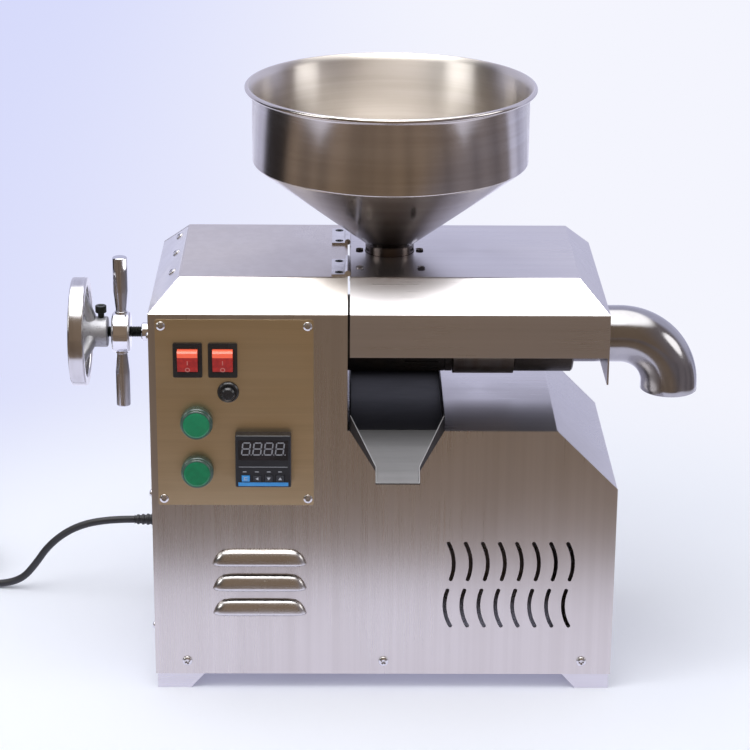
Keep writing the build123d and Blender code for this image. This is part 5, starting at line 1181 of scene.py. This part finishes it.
def makeKey(nodeName, shapes, look):
    low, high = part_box(nodeName)
    name = "key" + nodeName.split("_")[1].capitalize()
    finish = "keyBlue" if nodeName == "key_set" else "keyRubber"
    dress(softened(name, nodeName, look["edge"] * mm), nodeName, finish, (nodeName,))
    middle = ((low.x + high.x) / 2, low.y + look["sink"] * mm, (low.z + high.z) / 2)
    place = axisFrame(middle, (0, -1, 0), (1, 0, 0))
    work = bmesh.new()
    for outline in shapes:
        prismInto(work, inMetres(outline), place, look["markThick"] * mm)
    dress(pieceFrom(name + "Mark", work), nodeName, "markGrey")


for nodeName, shapes in keyMarks.items():
    makeKey(nodeName, shapes, keyLook)
print("controls made")


# Finishes of the CAD pieces that show as they are
plainPieces = {
    "frameSteel": ("bulkhead", "thrust_plate", "crosshead"),
    "brightSteel": ("hinge_fixed_leaves", "hinge_pins", "hinge_lid_leaves"),
    "darkBarrel": ("press_cage", "feed_collar", "press_chamber", "outlet_head"),
    "heaterJacket": ("heater_band",),
    "toolSteel": ("outlet_ring", "gearbox_bearings", "output_shaft", "final_gear", "idler_shaft",
                  "idler_gear", "motor_rotor", "tie_rods", "thrust_bearing", "press_screw"),
    "castHousing": ("gearbox_case", "gearbox_cover"),
    "motorPaint": ("motor_case", "fan_cowl"),
    "fanPlastic": ("motor_fan",),
    "chrome": ("spindle_nut",),
}
for finishName, nodeNames in plainPieces.items():
    for nodeName in nodeNames:
        nodes[nodeName].data.materials.clear()
        nodes[nodeName].data.materials.append(finishes[finishName])
print("inner pieces finished")


# Floor, backdrop light and lamps
stageLook = {
    # painted shade: the backdrop is darker on the left
    "backdropShadedLeft": (0.679, 0.708, 0.965),
    "backdropRight": (0.905, 0.913, 0.991),
    "floor": (0.9, 0.925, 1.0),
    "floorPatch": (0.91, 0.93, 1.0),
    "floorSize": 14.0,
    "benchMirror": (1.16, 1.15, 1.5),
    "roomNear": (0.29, 0.22, 0.17),
    "roomFar": (0.26, 0.19, 0.135),
    "roomLeft": (0.035, 0.03, 0.03),
    "roomRight": (0.26, 0.23, 0.25),
    "behind": (0.74, 0.75, 0.97),
    "leftLine": (0.12, 0.38),      # slopes to the left and right of the lines where the dim room ends
    "behindLine": (0.8, 0.46),     # and the pale one behind begins
    "ceiling": (2.6, 2.6, 2.65),
    "streaks": 5.0,
    "streakTone": (0.55, 0.55, 0.58),
    "benchShare": 0.55,        # how strongly the bench shows in metal, where the room counts as 1
    "sky": (0.95, 0.96, 1.0),
    "skyLevel": 0.62,
    "benchEdge": 0.235,        # how far in front of the cabinet the pale bench ends, as the metal sees it
    "benchSide": 0.5,          # and to its sides
    "fadeFrom": 0.42,          # the floor turns into the plain backdrop between these distances
    "fadeTo": 0.85,
}


def makeFloor(look):
    size = look["floorSize"]
    mesh = bpy.data.meshes.new("floor")
    corners = [(x, y, 0) for x, y in rectangle(-size, -size, size, size)]
    mesh.from_pydata(corners, [], [(0, 1, 2, 3)])
    floor = bpy.data.objects.new("floor", mesh)
    bpy.context.scene.collection.objects.link(floor)
    material, tree, shader = newMaterial("floorCloth")
    cloth = placeGroup(tree, smudges, Size=3.0)
    patches = mathNode(tree, "MULTIPLY", cloth.outputs["Patches"], 0.3)
    tone = mixColours(tree, patches, look["floor"], look["floorPatch"])
    tree.links.new(tone, shader.inputs["Base Color"])
    shader.inputs["Roughness"].default_value = 0.9
    shader.inputs["Specular IOR Level"].default_value = 0.1
    place = tree.nodes.new("ShaderNodeNewGeometry").outputs["Position"]
    parts = partsOf(tree, place)
    x, y = parts["X"], parts["Y"]
    path = tree.nodes.new("ShaderNodeLightPath")

    def blend(factor, first, second):
        mixer = tree.nodes.new("ShaderNodeMixShader")
        tree.links.new(factor, mixer.inputs["Fac"])
        tree.links.new(first, mixer.inputs[1])
        tree.links.new(second, mixer.inputs[2])
        return mixer.outputs[0]

    def glow(colour):
        node = tree.nodes.new("ShaderNodeEmission")
        tree.links.new(colour, node.inputs["Color"])
        return node.outputs[0]

    # What polished metal mirrors: a pale bench, then a dim room
    edge = panelLow.y - look["benchEdge"]
    room = mixColours(tree, rangeNode(tree, y, edge - 0.2, edge - 0.75), look["roomNear"], look["roomFar"])
    room = mixColours(tree, rangeNode(tree, x, 0.3, 1.0), room, look["roomRight"])
    toLeft = mathNode(tree, "MAXIMUM", mathNode(tree, "MULTIPLY", x, -1.0), 0.0)
    toRight = mathNode(tree, "MAXIMUM", x, 0.0)

    # How far a floor point lies behind the two lines that run back from the machine
    def pastLine(leftSlope, rightSlope):
        spread = mathNode(tree, "ADD", mathNode(tree, "MULTIPLY", toLeft, leftSlope),
                          mathNode(tree, "MULTIPLY", toRight, rightSlope))
        return mathNode(tree, "SUBTRACT", y, spread)

    backLeft = mathNode(tree, "MULTIPLY", rangeNode(tree, pastLine(*look["leftLine"]), -0.05, 0.05),
                        rangeNode(tree, x, -0.3, -0.5))
    room = mixColours(tree, backLeft, room, look["roomLeft"])
    room = mixColours(tree, rangeNode(tree, pastLine(*look["behindLine"]), -0.03, 0.06), room, look["behind"])
    # Upright things in the room, drawn out towards the machine
    away = vectorNode(tree, "NORMALIZE", place).outputs[0]
    streaks = rangeNode(tree, noiseNode(tree, away, look["streaks"], 2.0, 0.6), 0.4, 0.62, 0.0, 0.8)
    room = mixColours(tree, streaks, room, look["streakTone"], "MULTIPLY")
    besides = mathNode(tree, "ABSOLUTE", x)
    outside = mathNode(tree, "MAXIMUM", rangeNode(tree, y, edge + 0.02, edge - 0.05),
                       rangeNode(tree, besides, look["benchSide"], look["benchSide"] + 0.3))
    mirrored = mixColours(tree, outside, look["benchMirror"], room)
    strength = mathNode(tree, "MAXIMUM", outside, look["benchShare"])
    strength = mathNode(tree, "MULTIPLY", strength, path.outputs["Is Glossy Ray"])
    surface = blend(strength, shader.outputs[0], glow(mirrored))
    # The backdrop that the camera sees beyond the machine's own shadows, darker to the left as painted shade
    distance = vectorNode(tree, "LENGTH", place).outputs["Value"]
    backdrop = mixColours(tree, rangeNode(tree, x, -0.75, 0.3), look["backdropShadedLeft"], look["backdropRight"])
    backdrop = mixColours(tree, rangeNode(tree, distance, 3.2, 7.0), backdrop, look["backdropRight"])
    beyond = rangeNode(tree, distance, look["fadeFrom"], look["fadeTo"])
    beyond = mathNode(tree, "MULTIPLY", beyond, path.outputs["Is Camera Ray"])
    surface = blend(beyond, surface, glow(backdrop))
    tree.links.new(surface, tree.nodes["Material Output"].inputs["Surface"])
    mesh.materials.append(material)


# Pale background for the camera, a plain sky for light, and a studio for what metal mirrors
def makeWorld(look):
    world = bpy.data.worlds.new("studio")
    bpy.context.scene.world = world
    world.use_nodes = True
    tree = world.node_tree
    tree.nodes.clear()
    out = tree.nodes.new("ShaderNodeOutputWorld")
    parts = partsOf(tree, tree.nodes.new("ShaderNodeTexCoord").outputs["Generated"])
    x, y = parts["X"], parts["Y"]
    room = mixColours(tree, rangeNode(tree, x, -0.25, -0.7), look["roomFar"], look["roomLeft"])
    room = mixColours(tree, rangeNode(tree, x, 0.3, 0.8), room, look["roomRight"])
    around = mixColours(tree, rangeNode(tree, y, 0.1, 0.45), room, look["behind"])
    mirrored = mixColours(tree, rangeNode(tree, parts["Z"], 0.72, 0.86), around, look["ceiling"])
    glossy = tree.nodes.new("ShaderNodeBackground")
    tree.links.new(mirrored, glossy.inputs["Color"])
    sky = tree.nodes.new("ShaderNodeBackground")
    feed(tree, sky.inputs["Color"], look["sky"])
    sky.inputs["Strength"].default_value = look["skyLevel"]
    seen = tree.nodes.new("ShaderNodeBackground")
    feed(tree, seen.inputs["Color"], look["backdropRight"])
    path = tree.nodes.new("ShaderNodeLightPath")
    first, second = tree.nodes.new("ShaderNodeMixShader"), tree.nodes.new("ShaderNodeMixShader")
    tree.links.new(path.outputs["Is Glossy Ray"], first.inputs["Fac"])
    tree.links.new(sky.outputs[0], first.inputs[1])
    tree.links.new(glossy.outputs[0], first.inputs[2])
    tree.links.new(path.outputs["Is Camera Ray"], second.inputs["Fac"])
    tree.links.new(first.outputs[0], second.inputs[1])
    tree.links.new(seen.outputs[0], second.inputs[2])
    tree.links.new(second.outputs[0], out.inputs["Surface"])


lampPlaces = {
    "overhead": {"place": (-0.2, -0.35, 1.9), "aim": (0, 0, 0.25), "size": 1.5, "power": 16},
    "leftSoftBox": {"place": (-1.9, -0.9, 1.2), "aim": (0, 0, 0.25), "size": 1.1, "power": 9},
    "rightSoftBox": {"place": (2.1, -0.4, 1.1), "aim": (0, 0, 0.3), "size": 1.0, "power": 6},
}


def makeLamp(name, look):
    data = bpy.data.lights.new(name, "AREA")
    data.shape, data.size, data.energy = "DISK", look["size"], look["power"]
    lamp = bpy.data.objects.new(name, data)
    lamp.location = look["place"]
    lamp.rotation_euler = (Vector(look["aim"]) - Vector(look["place"])).to_track_quat("-Z", "Y").to_euler()
    bpy.context.scene.collection.objects.link(lamp)


makeFloor(stageLook)
makeWorld(stageLook)
for lampName, lampPlace in lampPlaces.items():
    makeLamp(lampName, lampPlace)
bpy.context.scene.view_settings.view_transform = "Standard"
print("stage and lamps made")
